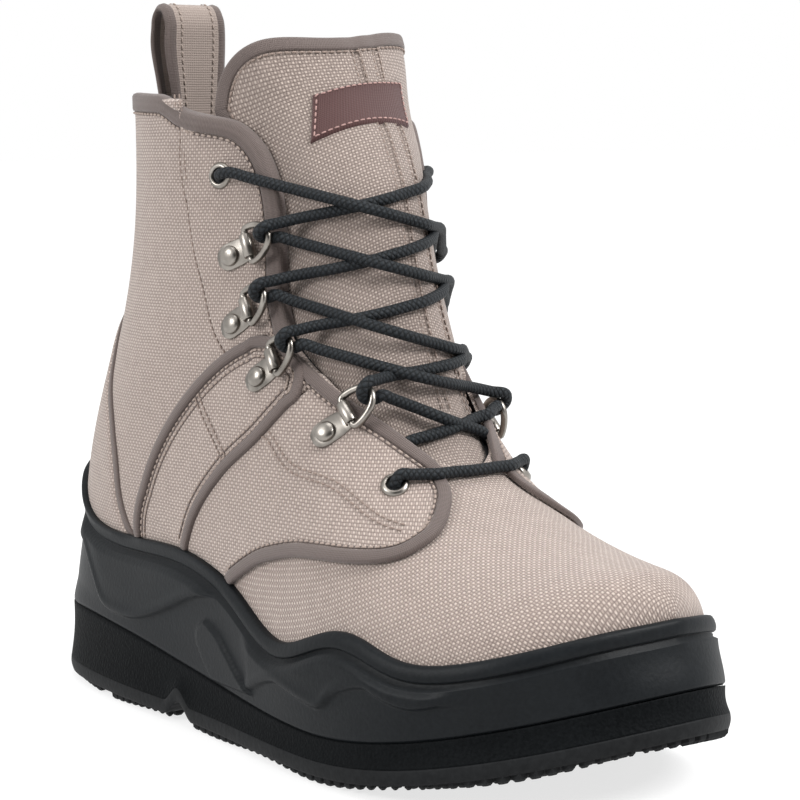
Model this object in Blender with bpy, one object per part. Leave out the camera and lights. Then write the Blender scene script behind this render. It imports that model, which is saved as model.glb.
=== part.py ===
"""Right wading boot: lugged sole, foam wedge, moulded rand, fabric upper, tongue and D-ring lacing.

Axes: toe along -Y, heel along +Y, outer (wearer's right) side -X, up +Z.
The floor is z = 0 and the origin is the middle of the heel's flat rest.
Every soft piece is laid on one last surface, skin(row, turn, lift):
row runs from the toe tip (0) back along the foot and up the shaft to the collar (20),
turn runs round a section from the back or bottom centre (0) by the outer side (0.25),
the front or top centre (0.5) and the inner side (0.75), and lift stands off the surface.
"""
import math

import bmesh
import bpy
import numpy as np
from mathutils import Matrix, Vector
from mathutils.bvhtree import BVHTree

# Driving sizes, in metres
SOLE_LENGTH = 0.312
BALL_WIDTH = 0.118
HEEL_REST = 0.044
TOE_SPRING = 0.019
HEEL_STACK = 0.029
BALL_STACK = 0.015
TREAD_LAYER = 0.0062
TREAD_FLARE = 0.0015
RAND_HEIGHT = 0.085
INSTEP_HEIGHT = 0.146
COLLAR_HEIGHT = 0.220
SHAFT_WIDTH = 0.093

# Thicknesses and clearances
UPPER_WALL = 0.0022
PANEL_CLOTH = 0.0014
EDGE_TAPE = 0.0007
BINDING = 0.0009
RAND_WALL = 0.0036
LIP_BEAD = 0.006
TONGUE_PAD = 0.0045
INSOLE_PAD = 0.004
SEAM_SINK = 0.0006
LIP_GAP = 0.0024
CLEARANCE = 0.0003
CURVE_CLEARANCE = 0.0005

# Heel breast notch and tread lugs
NOTCH_PLACE = 0.385
NOTCH_WIDTH = 0.019
NOTCH_DEPTH = 0.0058
LUG_HEIGHT = 0.0026
LUG_SIZE = 0.0160
LUG_PITCH = 0.0235
LUG_EDGE = 0.0015
LUG_TAPER = 0.8

# Lacing hardware
EYELET_HOLE = 0.0026
EYELET_FLANGE = 0.0045
EYELET_METAL = 0.0004
RING_WIRE = 0.0011
RING_WIDTH = 0.0135
RING_REACH = 0.0105
RING_TILT = math.radians(24)
CLIP_WIDTH = 0.0080
CLIP_REACH = 0.0095
CLIP_METAL = 0.0008
RIVET_RADIUS = 0.0032
LACE = 0.005

# Pull loop and label
LOOP_WIDTH = 0.026
LOOP_RISE = 0.034
LOOP_TAPE = 0.0018
LOOP_SEAT = 0.014
LABEL_WIDTH = 0.040
LABEL_DEPTH = 0.017
LABEL_CLOTH = 0.0008

SPRING_START = 0.657
LAST_ROW = 20.0
THROAT_ROW = 7.9
HEEL_SEAT_ROW = 13.6

# Foot sections of the last, toe to instep. Shares of SOLE_LENGTH (along), INSTEP_HEIGHT (height)
# and BALL_WIDTH (outer, inner half widths and middle); widest is the share of the section's height.
FOOT_COLUMNS = ("top_along", "top_height", "low_along", "outer", "inner", "middle",
                "widest", "top_round", "low_round")
FOOT_SECTIONS = (
    (0.978, 0.390, 0.971, 0.000, 0.000, 0.056, 0.30, 2.2, 3.0),
    (0.974, 0.432, 0.965, 0.110, 0.090, 0.049, 0.28, 2.2, 3.3),
    (0.963, 0.463, 0.951, 0.216, 0.186, 0.033, 0.26, 2.2, 3.5),
    (0.945, 0.486, 0.928, 0.306, 0.276, 0.016, 0.24, 2.2, 3.5),
    (0.915, 0.498, 0.892, 0.380, 0.344, -0.004, 0.22, 2.2, 3.5),
    (0.872, 0.516, 0.846, 0.424, 0.388, -0.020, 0.21, 2.2, 3.4),
    (0.820, 0.547, 0.788, 0.458, 0.420, -0.031, 0.20, 2.2, 3.3),
    (0.765, 0.597, 0.718, 0.476, 0.430, -0.036, 0.20, 2.15, 3.2),
    (0.711, 0.672, 0.640, 0.472, 0.418, -0.033, 0.21, 2.1, 3.1),
    (0.670, 0.771, 0.550, 0.452, 0.394, -0.022, 0.23, 2.05, 3.0),
    (0.636, 0.880, 0.458, 0.430, 0.374, -0.009, 0.25, 2.0, 2.9),
)
# Shaft sections, instep to collar. Heights are shares of the rise from INSTEP_HEIGHT to
# COLLAR_HEIGHT in front and from the sole to COLLAR_HEIGHT behind; widths are shares of SHAFT_WIDTH.
SHAFT_COLUMNS = ("top_along", "top_rise", "low_along", "low_rise", "outer", "inner", "middle",
                 "widest", "top_round", "low_round")
SHAFT_SECTIONS = (
    (0.609, 0.000, 0.359, 0.000, 0.530, 0.475, 0.006, 0.27, 2.0, 2.8),
    (0.589, 0.205, 0.244, 0.000, 0.518, 0.482, 0.026, 0.31, 2.0, 2.7),
    (0.573, 0.390, 0.122, 0.000, 0.510, 0.490, 0.046, 0.36, 2.0, 2.6),
    (0.558, 0.550, 0.036, 0.055, 0.502, 0.498, 0.064, 0.42, 2.0, 2.3),
    (0.539, 0.677, 0.030, 0.222, 0.497, 0.500, 0.082, 0.48, 2.0, 2.2),
    (0.520, 0.790, 0.063, 0.394, 0.491, 0.502, 0.100, 0.50, 2.0, 2.1),
    (0.501, 0.883, 0.101, 0.552, 0.488, 0.506, 0.110, 0.50, 2.0, 2.1),
    (0.485, 0.968, 0.124, 0.700, 0.488, 0.511, 0.115, 0.50, 2.0, 2.1),
    (0.472, 1.050, 0.134, 0.850, 0.490, 0.516, 0.117, 0.50, 2.0, 2.1),
    (0.460, 1.130, 0.137, 1.000, 0.493, 0.520, 0.118, 0.50, 2.0, 2.1),
)
# Sole outline from heel back to toe tip: shares of SOLE_LENGTH and BALL_WIDTH, then the rand's top
# as a share of RAND_HEIGHT, its wave line as a share of the rand's own height, and the wave's step.
OUTLINE_COLUMNS = ("outer_along", "outer", "inner_along", "inner", "lip", "wave", "step")
OUTLINE = (
    (0.000, 0.000, 0.000, 0.000, 1.000, 0.42, 0.0012),
    (0.019, 0.144, 0.019, 0.153, 0.988, 0.36, 0.0012),
    (0.071, 0.280, 0.071, 0.294, 0.925, 0.24, 0.0012),
    (0.154, 0.360, 0.154, 0.370, 0.772, 0.16, 0.0012),
    (0.272, 0.407, 0.272, 0.383, 0.732, 0.26, 0.0012),
    (0.385, 0.428, 0.385, 0.380, 0.735, 0.58, 0.0012),
    (0.497, 0.462, 0.513, 0.394, 0.640, 0.50, 0.0010),
    (0.609, 0.508, 0.625, 0.432, 0.492, 0.30, 0.0010),
    (0.712, 0.530, 0.721, 0.470, 0.588, 0.44, 0.0010),
    (0.801, 0.504, 0.808, 0.466, 0.528, 0.42, 0.0006),
    (0.881, 0.415, 0.891, 0.420, 0.552, 0.34, 0.0003),
    (0.946, 0.280, 0.952, 0.314, 0.622, 0.32, 0.0002),
    (0.984, 0.127, 0.987, 0.186, 0.660, 0.32, 0.0002),
    (1.000, -0.050, 1.000, 0.050, 0.676, 0.32, 0.0002),
)
# Sole thickness along the foot: share of SOLE_LENGTH, share of the step from ball to heel stack
STACK = ((0.00, 0.86), (0.14, 1.00), (0.27, 0.84), (0.40, 0.46), (0.54, 0.14), (0.66, 0.00),
         (0.80, 0.04), (0.90, 0.09), (1.00, 0.13))
# Half gap of the throat, in turns, by row
THROAT = ((8.1, 0.038), (9.0, 0.060), (10.0, 0.087), (11.0, 0.108), (12.0, 0.120), (13.0, 0.120),
          (14.0, 0.116), (15.0, 0.117), (16.0, 0.122), (17.0, 0.129), (18.0, 0.139), (19.0, 0.160),
          (19.6, 0.190))
# Saddle strap edges: turn, row of its lower edge, row of its upper edge
STRAP = ((0.215, 11.25, 12.40), (0.245, 11.35, 12.80), (0.270, 11.50, 13.08), (0.300, 11.42, 13.18),
         (0.333, 11.14, 13.02), (0.360, 11.02, 12.62), (0.384, 10.94, 12.20), (0.400, 11.05, 12.10))
# Lower quarter's lower edge: turn, row
QUARTER_FOOT = ((0.240, 10.50), (0.264, 10.20), (0.285, 9.85), (0.317, 8.98), (0.349, 7.85),
                (0.372, 7.18), (0.404, 6.84), (0.432, 7.02), (0.450, 7.30), (0.463, 7.80))
# Shaft facing's rear seam: row, turn
SIDE_SEAM = ((12.0, 0.345), (13.2, 0.334), (14.4, 0.322), (15.8, 0.299), (17.2, 0.285),
             (18.4, 0.280), (19.8, 0.281))
# Backstay's front edge: row, half width in turns
BACKSTAY = ((12.6, 0.212), (13.3, 0.224), (13.9, 0.226), (14.5, 0.213), (15.3, 0.184),
            (16.2, 0.150), (16.9, 0.105), (17.35, 0.050))
# Lacing hardware: the rivet's row and turn, then the ring's
RING_COLUMNS = ("rivet_row", "rivet_turn", "ring_row", "ring_turn")
RINGS = (
    (14.80, 0.343, 14.42, 0.380),
    (13.42, 0.345, 13.12, 0.378),
    (11.98, 0.350, 11.70, 0.382),
    (9.95, 0.383, 9.75, 0.419),
)
TOP_EYELET = (17.0, 0.327)
LOW_EYELET = (8.12, 0.420)

SIDES = (("outer", 1), ("inner", -1))


def blend(low, high, share):
    return low + (high - low) * share


def ease(value):
    value = min(1.0, max(0.0, value))
    return value * value * (3.0 - 2.0 * value)


def spline_weights(rows, closed=False):
    """Second derivatives of the cubic spline through evenly numbered rows."""
    values = np.array(rows, dtype=float)
    count = len(values)
    matrix = np.zeros((count, count))
    target = np.zeros_like(values)
    for index in range(count):
        if not closed and index in (0, count - 1):
            matrix[index, index] = 1.0
            continue
        before = (index - 1) % count
        after = (index + 1) % count
        matrix[index, before] += 1.0
        matrix[index, index] += 4.0
        matrix[index, after] += 1.0
        target[index] = 6.0 * (values[before] - 2.0 * values[index] + values[after])
    return values, np.linalg.solve(matrix, target), closed


def spline_at(spline, place):
    """Values of the spline at a place counted in rows; past the ends it goes on straight."""
    values, curve, closed = spline
    count = len(values)
    if closed:
        place = place % count
        index = int(place) % count
        after = (index + 1) % count
        share = place - int(place)
    else:
        inside = min(max(place, 0.0), count - 1.0)
        index = min(int(inside), count - 2)
        after = index + 1
        share = inside - index
        if place > inside:
            slope = values[-1] - values[-2] + curve[-2] / 6.0
            return values[-1] + slope * (place - inside)
    rest = 1.0 - share
    bend = (curve[index] * rest ** 3 + curve[after] * share ** 3) / 6.0
    line = (values[index] - curve[index] / 6.0) * rest
    return bend + line + (values[after] - curve[after] / 6.0) * share


def table_at(table, key):
    """Smooth value of a two column table at a key, level past its ends."""
    keys = [row[0] for row in table]
    values = [row[1] for row in table]
    if key <= keys[0]:
        return values[0]
    if key >= keys[-1]:
        return values[-1]
    slopes = np.gradient(np.array(values), np.array(keys))
    index = int(np.searchsorted(keys, key)) - 1
    span = keys[index + 1] - keys[index]
    share = (key - keys[index]) / span
    rest = 1.0 - share
    start = values[index] * (1.0 + 2.0 * share) * rest * rest + slopes[index] * span * share * rest * rest
    end = (values[index + 1] * (3.0 - 2.0 * share) * share * share
           - slopes[index + 1] * span * share * share * rest)
    return float(start + end)


def floor_rise(along):
    """Underside of the tread above the floor: flat, then the toe spring."""
    reach = max(0.0, (along - SPRING_START) / (1.0 - SPRING_START))
    return TOE_SPRING * reach * reach


def seam_height(along):
    """Height of the sole's upper seam, where the rand and the upper sit."""
    share = table_at(STACK, min(1.0, max(0.0, along)))
    return floor_rise(along) + blend(BALL_STACK, HEEL_STACK, share)


def notch(along):
    """Rise of the tread over the heel breast notch."""
    reach = abs(along - NOTCH_PLACE) * SOLE_LENGTH / (NOTCH_WIDTH / 2.0)
    return NOTCH_DEPTH * ease(1.0 - reach)


def section_rows():
    """The last's sections as lengths: top and low stations and heights, widths, middle, shape."""
    rows = []
    for section in FOOT_SECTIONS:
        part = dict(zip(FOOT_COLUMNS, section))
        rows.append((part["top_along"] * SOLE_LENGTH, part["top_height"] * INSTEP_HEIGHT,
                     part["low_along"] * SOLE_LENGTH, seam_height(part["low_along"]) + CURVE_CLEARANCE,
                     part["outer"] * BALL_WIDTH, part["inner"] * BALL_WIDTH,
                     part["middle"] * BALL_WIDTH, part["widest"], part["top_round"], part["low_round"]))
    for section in SHAFT_SECTIONS:
        part = dict(zip(SHAFT_COLUMNS, section))
        seat = seam_height(part["low_along"]) + CURVE_CLEARANCE
        rows.append((part["top_along"] * SOLE_LENGTH,
                     blend(INSTEP_HEIGHT, COLLAR_HEIGHT, part["top_rise"]),
                     part["low_along"] * SOLE_LENGTH, blend(seat, COLLAR_HEIGHT, part["low_rise"]),
                     part["outer"] * SHAFT_WIDTH, part["inner"] * SHAFT_WIDTH,
                     part["middle"] * SHAFT_WIDTH, part["widest"], part["top_round"],
                     part["low_round"]))
    return rows


LAST = spline_weights(section_rows())


def last_point(row, turn):
    """A point of the upper's outer face."""
    (top_along, top_height, low_along, low_height, outer, inner, middle, widest,
     top_round, low_round) = spline_at(LAST, row)
    angle = 2.0 * math.pi * turn
    sine = math.sin(angle)
    cosine = -math.cos(angle)
    power = 2.0 / (top_round if cosine >= 0.0 else low_round)
    across = abs(sine) ** power
    rise = math.copysign(abs(cosine) ** power, cosine)
    height = widest + (1.0 - widest) * rise if cosine >= 0.0 else widest + widest * rise
    half = -outer if sine >= 0.0 else inner
    return Vector((middle + half * across,
                   HEEL_REST - blend(low_along, top_along, height),
                   blend(low_height, top_height, height)))


def last_frame(row, turn):
    """Outward normal and the two surface directions, along the rows and round the section."""
    step = 0.002
    back = max(row - 20.0 * step, 0.02)
    along = last_point(back + 40.0 * step, turn) - last_point(back, turn)
    round_way = last_point(max(row, 0.05), turn + step) - last_point(max(row, 0.05), turn - step)
    normal = round_way.cross(along)
    return normal.normalized(), along.normalized(), round_way.normalized()


def skin(row, turn, lift=0.0):
    point = last_point(row, turn)
    if row < 0.05:
        return point + Vector((0.0, -lift, 0.0))
    return point + last_frame(row, turn)[0] * lift


def throat_gap(row):
    """Half width of the throat opening in turns; nought below its base."""
    if row <= THROAT_ROW:
        return 0.0
    return table_at(THROAT, row)


def collar_row(turn):
    """Row of the collar's edge, which dips from the back to the throat."""
    return 19.95 - 1.35 * ((1.0 - math.cos(2.0 * math.pi * turn)) / 2.0) ** 2


def collared(row, turn):
    """Rows of the upper shaft squeezed so that the last one lies on the collar's edge."""
    start = 17.0
    if row <= start:
        return row
    return blend(start, collar_row(turn), (row - start) / (LAST_ROW - start))


def outline_at(place):
    """Sole outline at a place from 0 (heel) by 0.25 (outer) and 0.5 (toe) to 1: point, normal, row."""
    count = len(OUTLINE) - 1
    x, y = spline_at(PLAN, place * 2 * count)
    ahead = spline_at(PLAN, place * 2 * count + 0.05)
    behind = spline_at(PLAN, place * 2 * count - 0.05)
    way = Vector((ahead[0] - behind[0], ahead[1] - behind[1], 0.0)).normalized()
    row = count * (1.0 - abs(1.0 - 2.0 * (place % 1.0)))
    return Vector((x, y, 0.0)), Vector((way.y, -way.x, 0.0)), row


def plan_points():
    outer = [(-row[1] * BALL_WIDTH, HEEL_REST - row[0] * SOLE_LENGTH) for row in OUTLINE]
    inner = [(row[3] * BALL_WIDTH, HEEL_REST - row[2] * SOLE_LENGTH) for row in OUTLINE]
    return outer + inner[-2:0:-1]


PLAN = spline_weights(plan_points(), closed=True)
RAND_EDGE = spline_weights([row[4:7] for row in OUTLINE])


def station(point):
    return (HEEL_REST - point.y) / SOLE_LENGTH


def lip_height(row):
    return float(spline_at(RAND_EDGE, row)[0]) * RAND_HEIGHT


def clear_scene():
    for item in list(bpy.data.objects):
        bpy.data.objects.remove(item, do_unlink=True)


def material(name, colour, roughness, metallic=0.0):
    made = bpy.data.materials.get(name)
    if made:
        return made
    made = bpy.data.materials.new(name)
    made.use_nodes = True
    shader = made.node_tree.nodes["Principled BSDF"]
    shader.inputs["Base Color"].default_value = (*colour, 1.0)
    shader.inputs["Roughness"].default_value = roughness
    shader.inputs["Metallic"].default_value = metallic
    made.diffuse_color = (*colour, 1.0)
    return made


CLOTH = ("boot_cloth", (0.50, 0.43, 0.37), 0.85)
TAPE = ("edge_tape", (0.17, 0.13, 0.12), 0.8)
RUBBER = ("rand_rubber", (0.035, 0.042, 0.048), 0.55)
FOAM = ("sole_foam", (0.012, 0.015, 0.017), 0.7)
TREAD = ("tread_rubber", (0.045, 0.045, 0.05), 0.65)
CORD = ("lace_cord", (0.015, 0.022, 0.03), 0.75)
NICKEL = ("nickel", (0.55, 0.52, 0.48), 0.3, 1.0)
LINING = ("lining", (0.05, 0.05, 0.055), 0.9)
PATCH = ("patch_cloth", (0.09, 0.022, 0.02), 0.85)


def add_object(name, mesh, finish, smooth_angle=40.0):
    mesh.materials.append(material(*finish))
    mesh.shade_smooth()
    mesh.set_sharp_from_angle(angle=math.radians(smooth_angle))
    item = bpy.data.objects.new(name, mesh)
    bpy.context.collection.objects.link(item)
    return item


def mesh_from(name, points, faces):
    mesh = bpy.data.meshes.new(name)
    mesh.from_pydata([tuple(point) for point in points], [], faces)
    shape = bmesh.new()
    shape.from_mesh(mesh)
    bmesh.ops.remove_doubles(shape, verts=shape.verts, dist=1e-7)
    bmesh.ops.recalc_face_normals(shape, faces=shape.faces)
    if shape.calc_volume(signed=True) < 0.0:
        bmesh.ops.reverse_faces(shape, faces=shape.faces)
    bmesh.ops.triangulate(shape, faces=shape.faces[:])
    shape.to_mesh(mesh)
    shape.free()
    return mesh


def tree_of(item):
    """Search tree of an object's faces in world space."""
    bpy.context.view_layer.update()
    shape = bmesh.new()
    shape.from_mesh(item.data)
    shape.transform(item.matrix_world)
    tree = BVHTree.FromBMesh(shape)
    shape.free()
    return tree


PROBE = 0.008


def seat(tree, grid, normals, side=1):
    """Lifts that keep a grid's flat faces clear of the faceted surface it lies on.

    The grid lies outside the surface for side 1 and inside it for side -1.
    """
    lifts = [[0.0] * len(rail) for rail in grid]
    samples = (0.0, 0.17, 0.33, 0.5, 0.67, 0.83, 1.0)
    for _ in range(3):
        for rail in range(len(grid) - 1):
            for step in range(len(grid[0]) - 1):
                corners = ((rail, step), (rail + 1, step), (rail, step + 1), (rail + 1, step + 1))
                for first in samples:
                    for second in samples:
                        weights = ((1.0 - first) * (1.0 - second), first * (1.0 - second),
                                   (1.0 - first) * second, first * second)
                        place = Vector()
                        normal = Vector()
                        for (at, along), weight in zip(corners, weights):
                            way = normals[at][along]
                            place += (grid[at][along] + way * lifts[at][along]) * weight
                            normal += way * weight
                        normal.normalize()
                        hit = tree.ray_cast(place + normal * PROBE * side, -normal * side, 2.0 * PROBE)
                        if hit[3] is None:
                            continue
                        short = PROBE - hit[3] + CURVE_CLEARANCE
                        if short <= 0.0:
                            continue
                        spread = sum(weight * weight for weight in weights)
                        for (at, along), weight in zip(corners, weights):
                            lifts[at][along] += side * short * weight / spread
    return lifts


def lifted(grid, normals, lifts):
    return [[point + normal * lift for point, normal, lift in zip(*rails)]
            for rails in zip(grid, normals, lifts)]


def cut(item, cutter, operation="DIFFERENCE"):
    """Apply one exact Boolean and drop the cutter."""
    change = item.modifiers.new("cut", "BOOLEAN")
    change.operation = operation
    change.object = cutter
    seen = bpy.context.evaluated_depsgraph_get()
    mesh = bpy.data.meshes.new_from_object(item.evaluated_get(seen))
    item.modifiers.clear()
    item.data = mesh
    bpy.data.objects.remove(cutter, do_unlink=True)


def shell(name, grid_out, grid_in, finish, wrap=False):
    """Closed solid between two grids of points, given as lists of rails."""
    rails = len(grid_out)
    count = len(grid_out[0])
    points = [point for rail in grid_out for point in rail] + [point for rail in grid_in for point in rail]
    half = rails * count
    faces = []
    for rail in range(rails - 1):
        for step in range(count if wrap else count - 1):
            after = (step + 1) % count
            face = (rail * count + step, rail * count + after,
                    (rail + 1) * count + after, (rail + 1) * count + step)
            faces.append(face)
            faces.append(tuple(half + index for index in reversed(face)))
    edges = []
    for step in range(count if wrap else count - 1):
        after = (step + 1) % count
        edges.append((after, step))
        edges.append(((rails - 1) * count + step, (rails - 1) * count + after))
    if not wrap:
        for rail in range(rails - 1):
            edges.append((rail * count, (rail + 1) * count))
            edges.append(((rail + 1) * count + count - 1, rail * count + count - 1))
    for start, end in edges:
        faces.append((start, end, half + end, half + start))
    return add_object(name, mesh_from(name, points, faces), finish)


def loop_solid(name, rings, finish, smooth_angle=40.0):
    """Closed tube of section rings: each ring joins the next and the last joins the first."""
    count = len(rings[0])
    points = [point for ring in rings for point in ring]
    faces = []
    for index in range(len(rings)):
        after = (index + 1) % len(rings)
        for step in range(count):
            beside = (step + 1) % count
            faces.append((index * count + step, index * count + beside,
                          after * count + beside, after * count + step))
    return add_object(name, mesh_from(name, points, faces), finish, smooth_angle)


def slab(name, rings, finish, smooth_angle=40.0):
    """Solid between stacked outline rings, capped by strips from the outer to the inner side."""
    count = len(rings[0])
    points = [point for ring in rings for point in ring]
    faces = []
    for index in range(len(rings) - 1):
        for step in range(count):
            after = (step + 1) % count
            faces.append((index * count + step, index * count + after,
                          (index + 1) * count + after, (index + 1) * count + step))
    for base in (0, (len(rings) - 1) * count):
        for step in range(count // 2):
            strip = (base + step, base + step + 1, base + (count - step - 1) % count,
                     base + (count - step) % count)
            faces.append(tuple(dict.fromkeys(strip)))
    return add_object(name, mesh_from(name, points, faces), finish, smooth_angle)


def tube_mesh(name, path, radius, sides):
    """Round tube with flat ends along a list of points."""
    path = [Vector(point) for point in path]
    points = []
    side = None
    for index, point in enumerate(path):
        way = path[min(index + 1, len(path) - 1)] - path[max(index - 1, 0)]
        way.normalize()
        if side is None:
            side = way.orthogonal().normalized()
        side = (side - way * side.dot(way)).normalized()
        over = way.cross(side)
        for step in range(sides):
            angle = 2.0 * math.pi * step / sides
            points.append(point + (side * math.cos(angle) + over * math.sin(angle)) * radius)
    faces = []
    for index in range(len(path) - 1):
        for step in range(sides):
            after = (step + 1) % sides
            faces.append((index * sides + step, index * sides + after,
                          (index + 1) * sides + after, (index + 1) * sides + step))
    faces.append(tuple(range(sides)))
    faces.append(tuple(range((len(path) - 1) * sides, len(path) * sides)))
    return mesh_from(name, points, faces)


OUTLINE_STEPS = 52
OUTLINE_RING = [outline_at(step / OUTLINE_STEPS) for step in range(OUTLINE_STEPS)]


def outline_ring(offset, height):
    """A ring round the sole outline; height is a function of the station's share."""
    ring = []
    for point, normal, _ in OUTLINE_RING:
        place = point + normal * offset
        ring.append(Vector((place.x, place.y, height(station(point)))))
    return ring


def tread_top(along):
    return floor_rise(along) + TREAD_LAYER + 0.6 * notch(along)


def inside_outline(x, y, margin):
    """Whether a point lies inside the sole outline, at least margin from its edge."""
    spot = Vector((x, y, 0.0))
    point, normal, _ = min(OUTLINE_RING, key=lambda near: (near[0] - spot).length_squared)
    away = spot - point
    return away.dot(normal) < 0.0 and away.length > margin


def lug_places():
    """Centres of the lugs: a brick pattern with one lug at the origin, clear of edge and notch."""
    places = []
    reach = int(SOLE_LENGTH / LUG_PITCH) + 1
    half = LUG_SIZE / 2.0
    ahead_limit = min(point[1] for point in plan_points())
    for row in range(-reach, reach + 1):
        y = row * LUG_PITCH
        if y > HEEL_REST or y < ahead_limit:
            continue
        shift = 0.5 * LUG_PITCH * (row % 2)
        near_notch = abs(station(Vector((0.0, y, 0.0))) - NOTCH_PLACE) * SOLE_LENGTH
        if near_notch < NOTCH_WIDTH / 2.0 + half:
            continue
        for column in range(-reach, reach + 1):
            x = column * LUG_PITCH + shift
            if abs(x) < 0.6 * BALL_WIDTH and inside_outline(x, y, 1.3 * half + LUG_EDGE - TREAD_FLARE):
                places.append((x, y))
    return places


def build_outsole():
    """Tread layer that follows the toe spring and the notch, with its lugs fused on."""
    underside = lambda along: floor_rise(along) + LUG_HEIGHT + notch(along)
    rings = [outline_ring(TREAD_FLARE, underside), outline_ring(TREAD_FLARE, tread_top)]
    outsole = slab("outsole", rings, TREAD)
    half = LUG_SIZE / 2.0
    sunk = 0.0008
    points = []
    faces = []
    for x, y in lug_places():
        start = len(points)
        for size, lift in ((half * LUG_TAPER, 0.0), (half, LUG_HEIGHT + sunk)):
            for side_x, side_y in ((-1, -1), (1, -1), (1, 1), (-1, 1)):
                corner = Vector((x + side_x * size, y + side_y * size, 0.0))
                corner.z = floor_rise(station(corner)) + lift
                points.append(corner)
        faces.append((start + 3, start + 2, start + 1, start))
        faces.append((start + 4, start + 5, start + 6, start + 7))
        for step in range(4):
            after = (step + 1) % 4
            faces.append((start + step, start + after, start + 4 + after, start + 4 + step))
    lugs = add_object("lugs", mesh_from("lugs", points, faces), TREAD)
    cut(outsole, lugs, "UNION")
    return outsole


def build_midsole():
    """Foam wedge between the tread and the rand, flared towards the floor."""
    under = lambda along: tread_top(along) + CLEARANCE
    top = lambda along: seam_height(along) - SEAM_SINK
    return slab("midsole", [outline_ring(TREAD_FLARE, under), outline_ring(0.0, top)], FOAM)


ROW_STOPS = (0.0, 0.6, 1.2, 2.0, 2.9, 3.8, 4.8, 5.9, 7.0, THROAT_ROW, 8.1, 8.9, 9.8, 10.8,
             11.8, 12.8, HEEL_SEAT_ROW, 14.2, 14.9, 15.8, 16.8, 17.8, 18.9, LAST_ROW)
TURN_STEPS = 10


def foot_gap(row):
    """Half width, in turns, of the opening under the foot, closed behind by the heel seat."""
    share = max(0.0, 1.0 - (row / HEEL_SEAT_ROW) ** 10)
    return 0.085 * math.sqrt(share)


def upper_turn(row, step):
    """Turn on the outer side at a step from the bottom opening to the throat."""
    return blend(foot_gap(row), 0.5 - throat_gap(row), step / TURN_STEPS)


def build_upper():
    """Hollow upper: one wall, open at the collar, the throat and under the foot."""
    outside = {}
    points = []
    inside_points = []
    faces = []

    def index_of(level, step, side):
        row = ROW_STOPS[level]
        joined = level == 0 or (step == 0 and foot_gap(row) == 0.0)
        joined = joined or (step == TURN_STEPS and throat_gap(row) == 0.0)
        key = (level, step, 1 if joined else side)
        if key not in outside:
            turn = upper_turn(row, step)
            turn = turn if side > 0 else 1.0 - turn
            place = collared(row, turn)
            outside[key] = len(points)
            points.append(skin(place, turn))
            inside_points.append(skin(place, turn, -UPPER_WALL))
        return outside[key]

    for _, side in SIDES:
        for level in range(len(ROW_STOPS) - 1):
            for step in range(TURN_STEPS):
                face = [index_of(level, step, side), index_of(level, step + 1, side),
                        index_of(level + 1, step + 1, side), index_of(level + 1, step, side)]
                face = list(dict.fromkeys(face))
                faces.append(face if side > 0 else face[::-1])
    edges = {}
    for face in faces:
        for start, end in zip(face, face[1:] + face[:1]):
            edges[(start, end)] = True
    offset = len(points)
    solid = [tuple(face) for face in faces]
    solid += [tuple(offset + index for index in reversed(face)) for face in faces]
    for start, end in edges:
        if (end, start) not in edges:
            solid.append((end, start, offset + start, offset + end))
    mesh = mesh_from("upper", points + inside_points, solid)
    return add_object("upper", mesh, CLOTH)


OUTSIDE = 0.17 * BALL_WIDTH
INSIDE = 0.34 * BALL_WIDTH
DOWN = Vector((0.0, 0.0, -1.0))


def upper_reach(tree, place, height, spread=0.5):
    """Least distance in from the sole outline to the upper's face near a place and height."""
    reaches = []
    for share in (-spread, 0.0, spread):
        point, normal, _ = outline_at(place + share / OUTLINE_STEPS)
        start = Vector((point.x, point.y, height)) + normal * OUTSIDE
        hit = tree.ray_cast(start, -normal, OUTSIDE + INSIDE)
        reaches.append(hit[3] - OUTSIDE if hit[3] is not None else OUTSIDE)
    return min(reaches)


def build_rand(tree):
    """Moulded rand: stepped wave on its side, groove, bead along its wavy top edge."""
    rings = []
    for step in range(OUTLINE_STEPS):
        place = step / OUTLINE_STEPS
        point, normal, row = outline_at(place)
        _, wave, wave_step = spline_at(RAND_EDGE, row)
        low = seam_height(station(point)) + CLEARANCE
        top = lip_height(row)
        groove = top - LIP_BEAD
        wave_height = blend(low, top, wave)
        wave_height = min(max(wave_height, low + 0.003), groove - 0.004)

        inner = []
        inner_heights = [top - 0.0008, blend(low, top, 0.45), low]
        for index, height in enumerate(inner_heights):
            above = inner_heights[max(index - 1, 0)]
            below = inner_heights[min(index + 1, len(inner_heights) - 1)]
            near = [blend(below, above, share / 6.0) for share in range(7)]
            reach = min(upper_reach(tree, place, level, 0.9) for level in near)
            inner.append((-min(reach, 0.012) + 1.5 * CURVE_CLEARANCE, height))

        def inner_at(height):
            upper_part = height > inner[1][1]
            high, below = (inner[0], inner[1]) if upper_part else (inner[1], inner[2])
            return blend(below[0], high[0], (height - below[1]) / (high[1] - below[1]))

        def over(height, thickness):
            return max(-upper_reach(tree, place, height) + thickness,
                       inner_at(height) + 0.6 * thickness)

        def side_face(height, out):
            share = (height - low) / (groove - low)
            face = blend(0.0, over(groove, RAND_WALL), ease(share))
            return max(face, inner_at(height) + 0.6 * RAND_WALL) + out

        middle = min(max(inner[1][1], wave_height + 0.002), groove - 0.003)
        section = [
            (side_face(low, 0.0), low),
            (side_face(wave_height, wave_step), wave_height - 0.0005),
            (side_face(wave_height, 0.0), wave_height + 0.0005),
            (side_face(middle, 0.0), middle),
            (over(groove, RAND_WALL), groove - 0.0012),
            (over(groove, RAND_WALL - 0.0016), groove),
            (over(groove, RAND_WALL + 0.0003), groove + 0.0012),
            (over(top, RAND_WALL), top - 0.0018),
            (over(top, 0.55 * RAND_WALL), top),
        ]
        section += inner
        rings.append([Vector((point.x + normal.x * out, point.y + normal.y * out, height))
                      for out, height in section])
    return loop_solid("rand", rings, RUBBER, 35.0)


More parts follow.
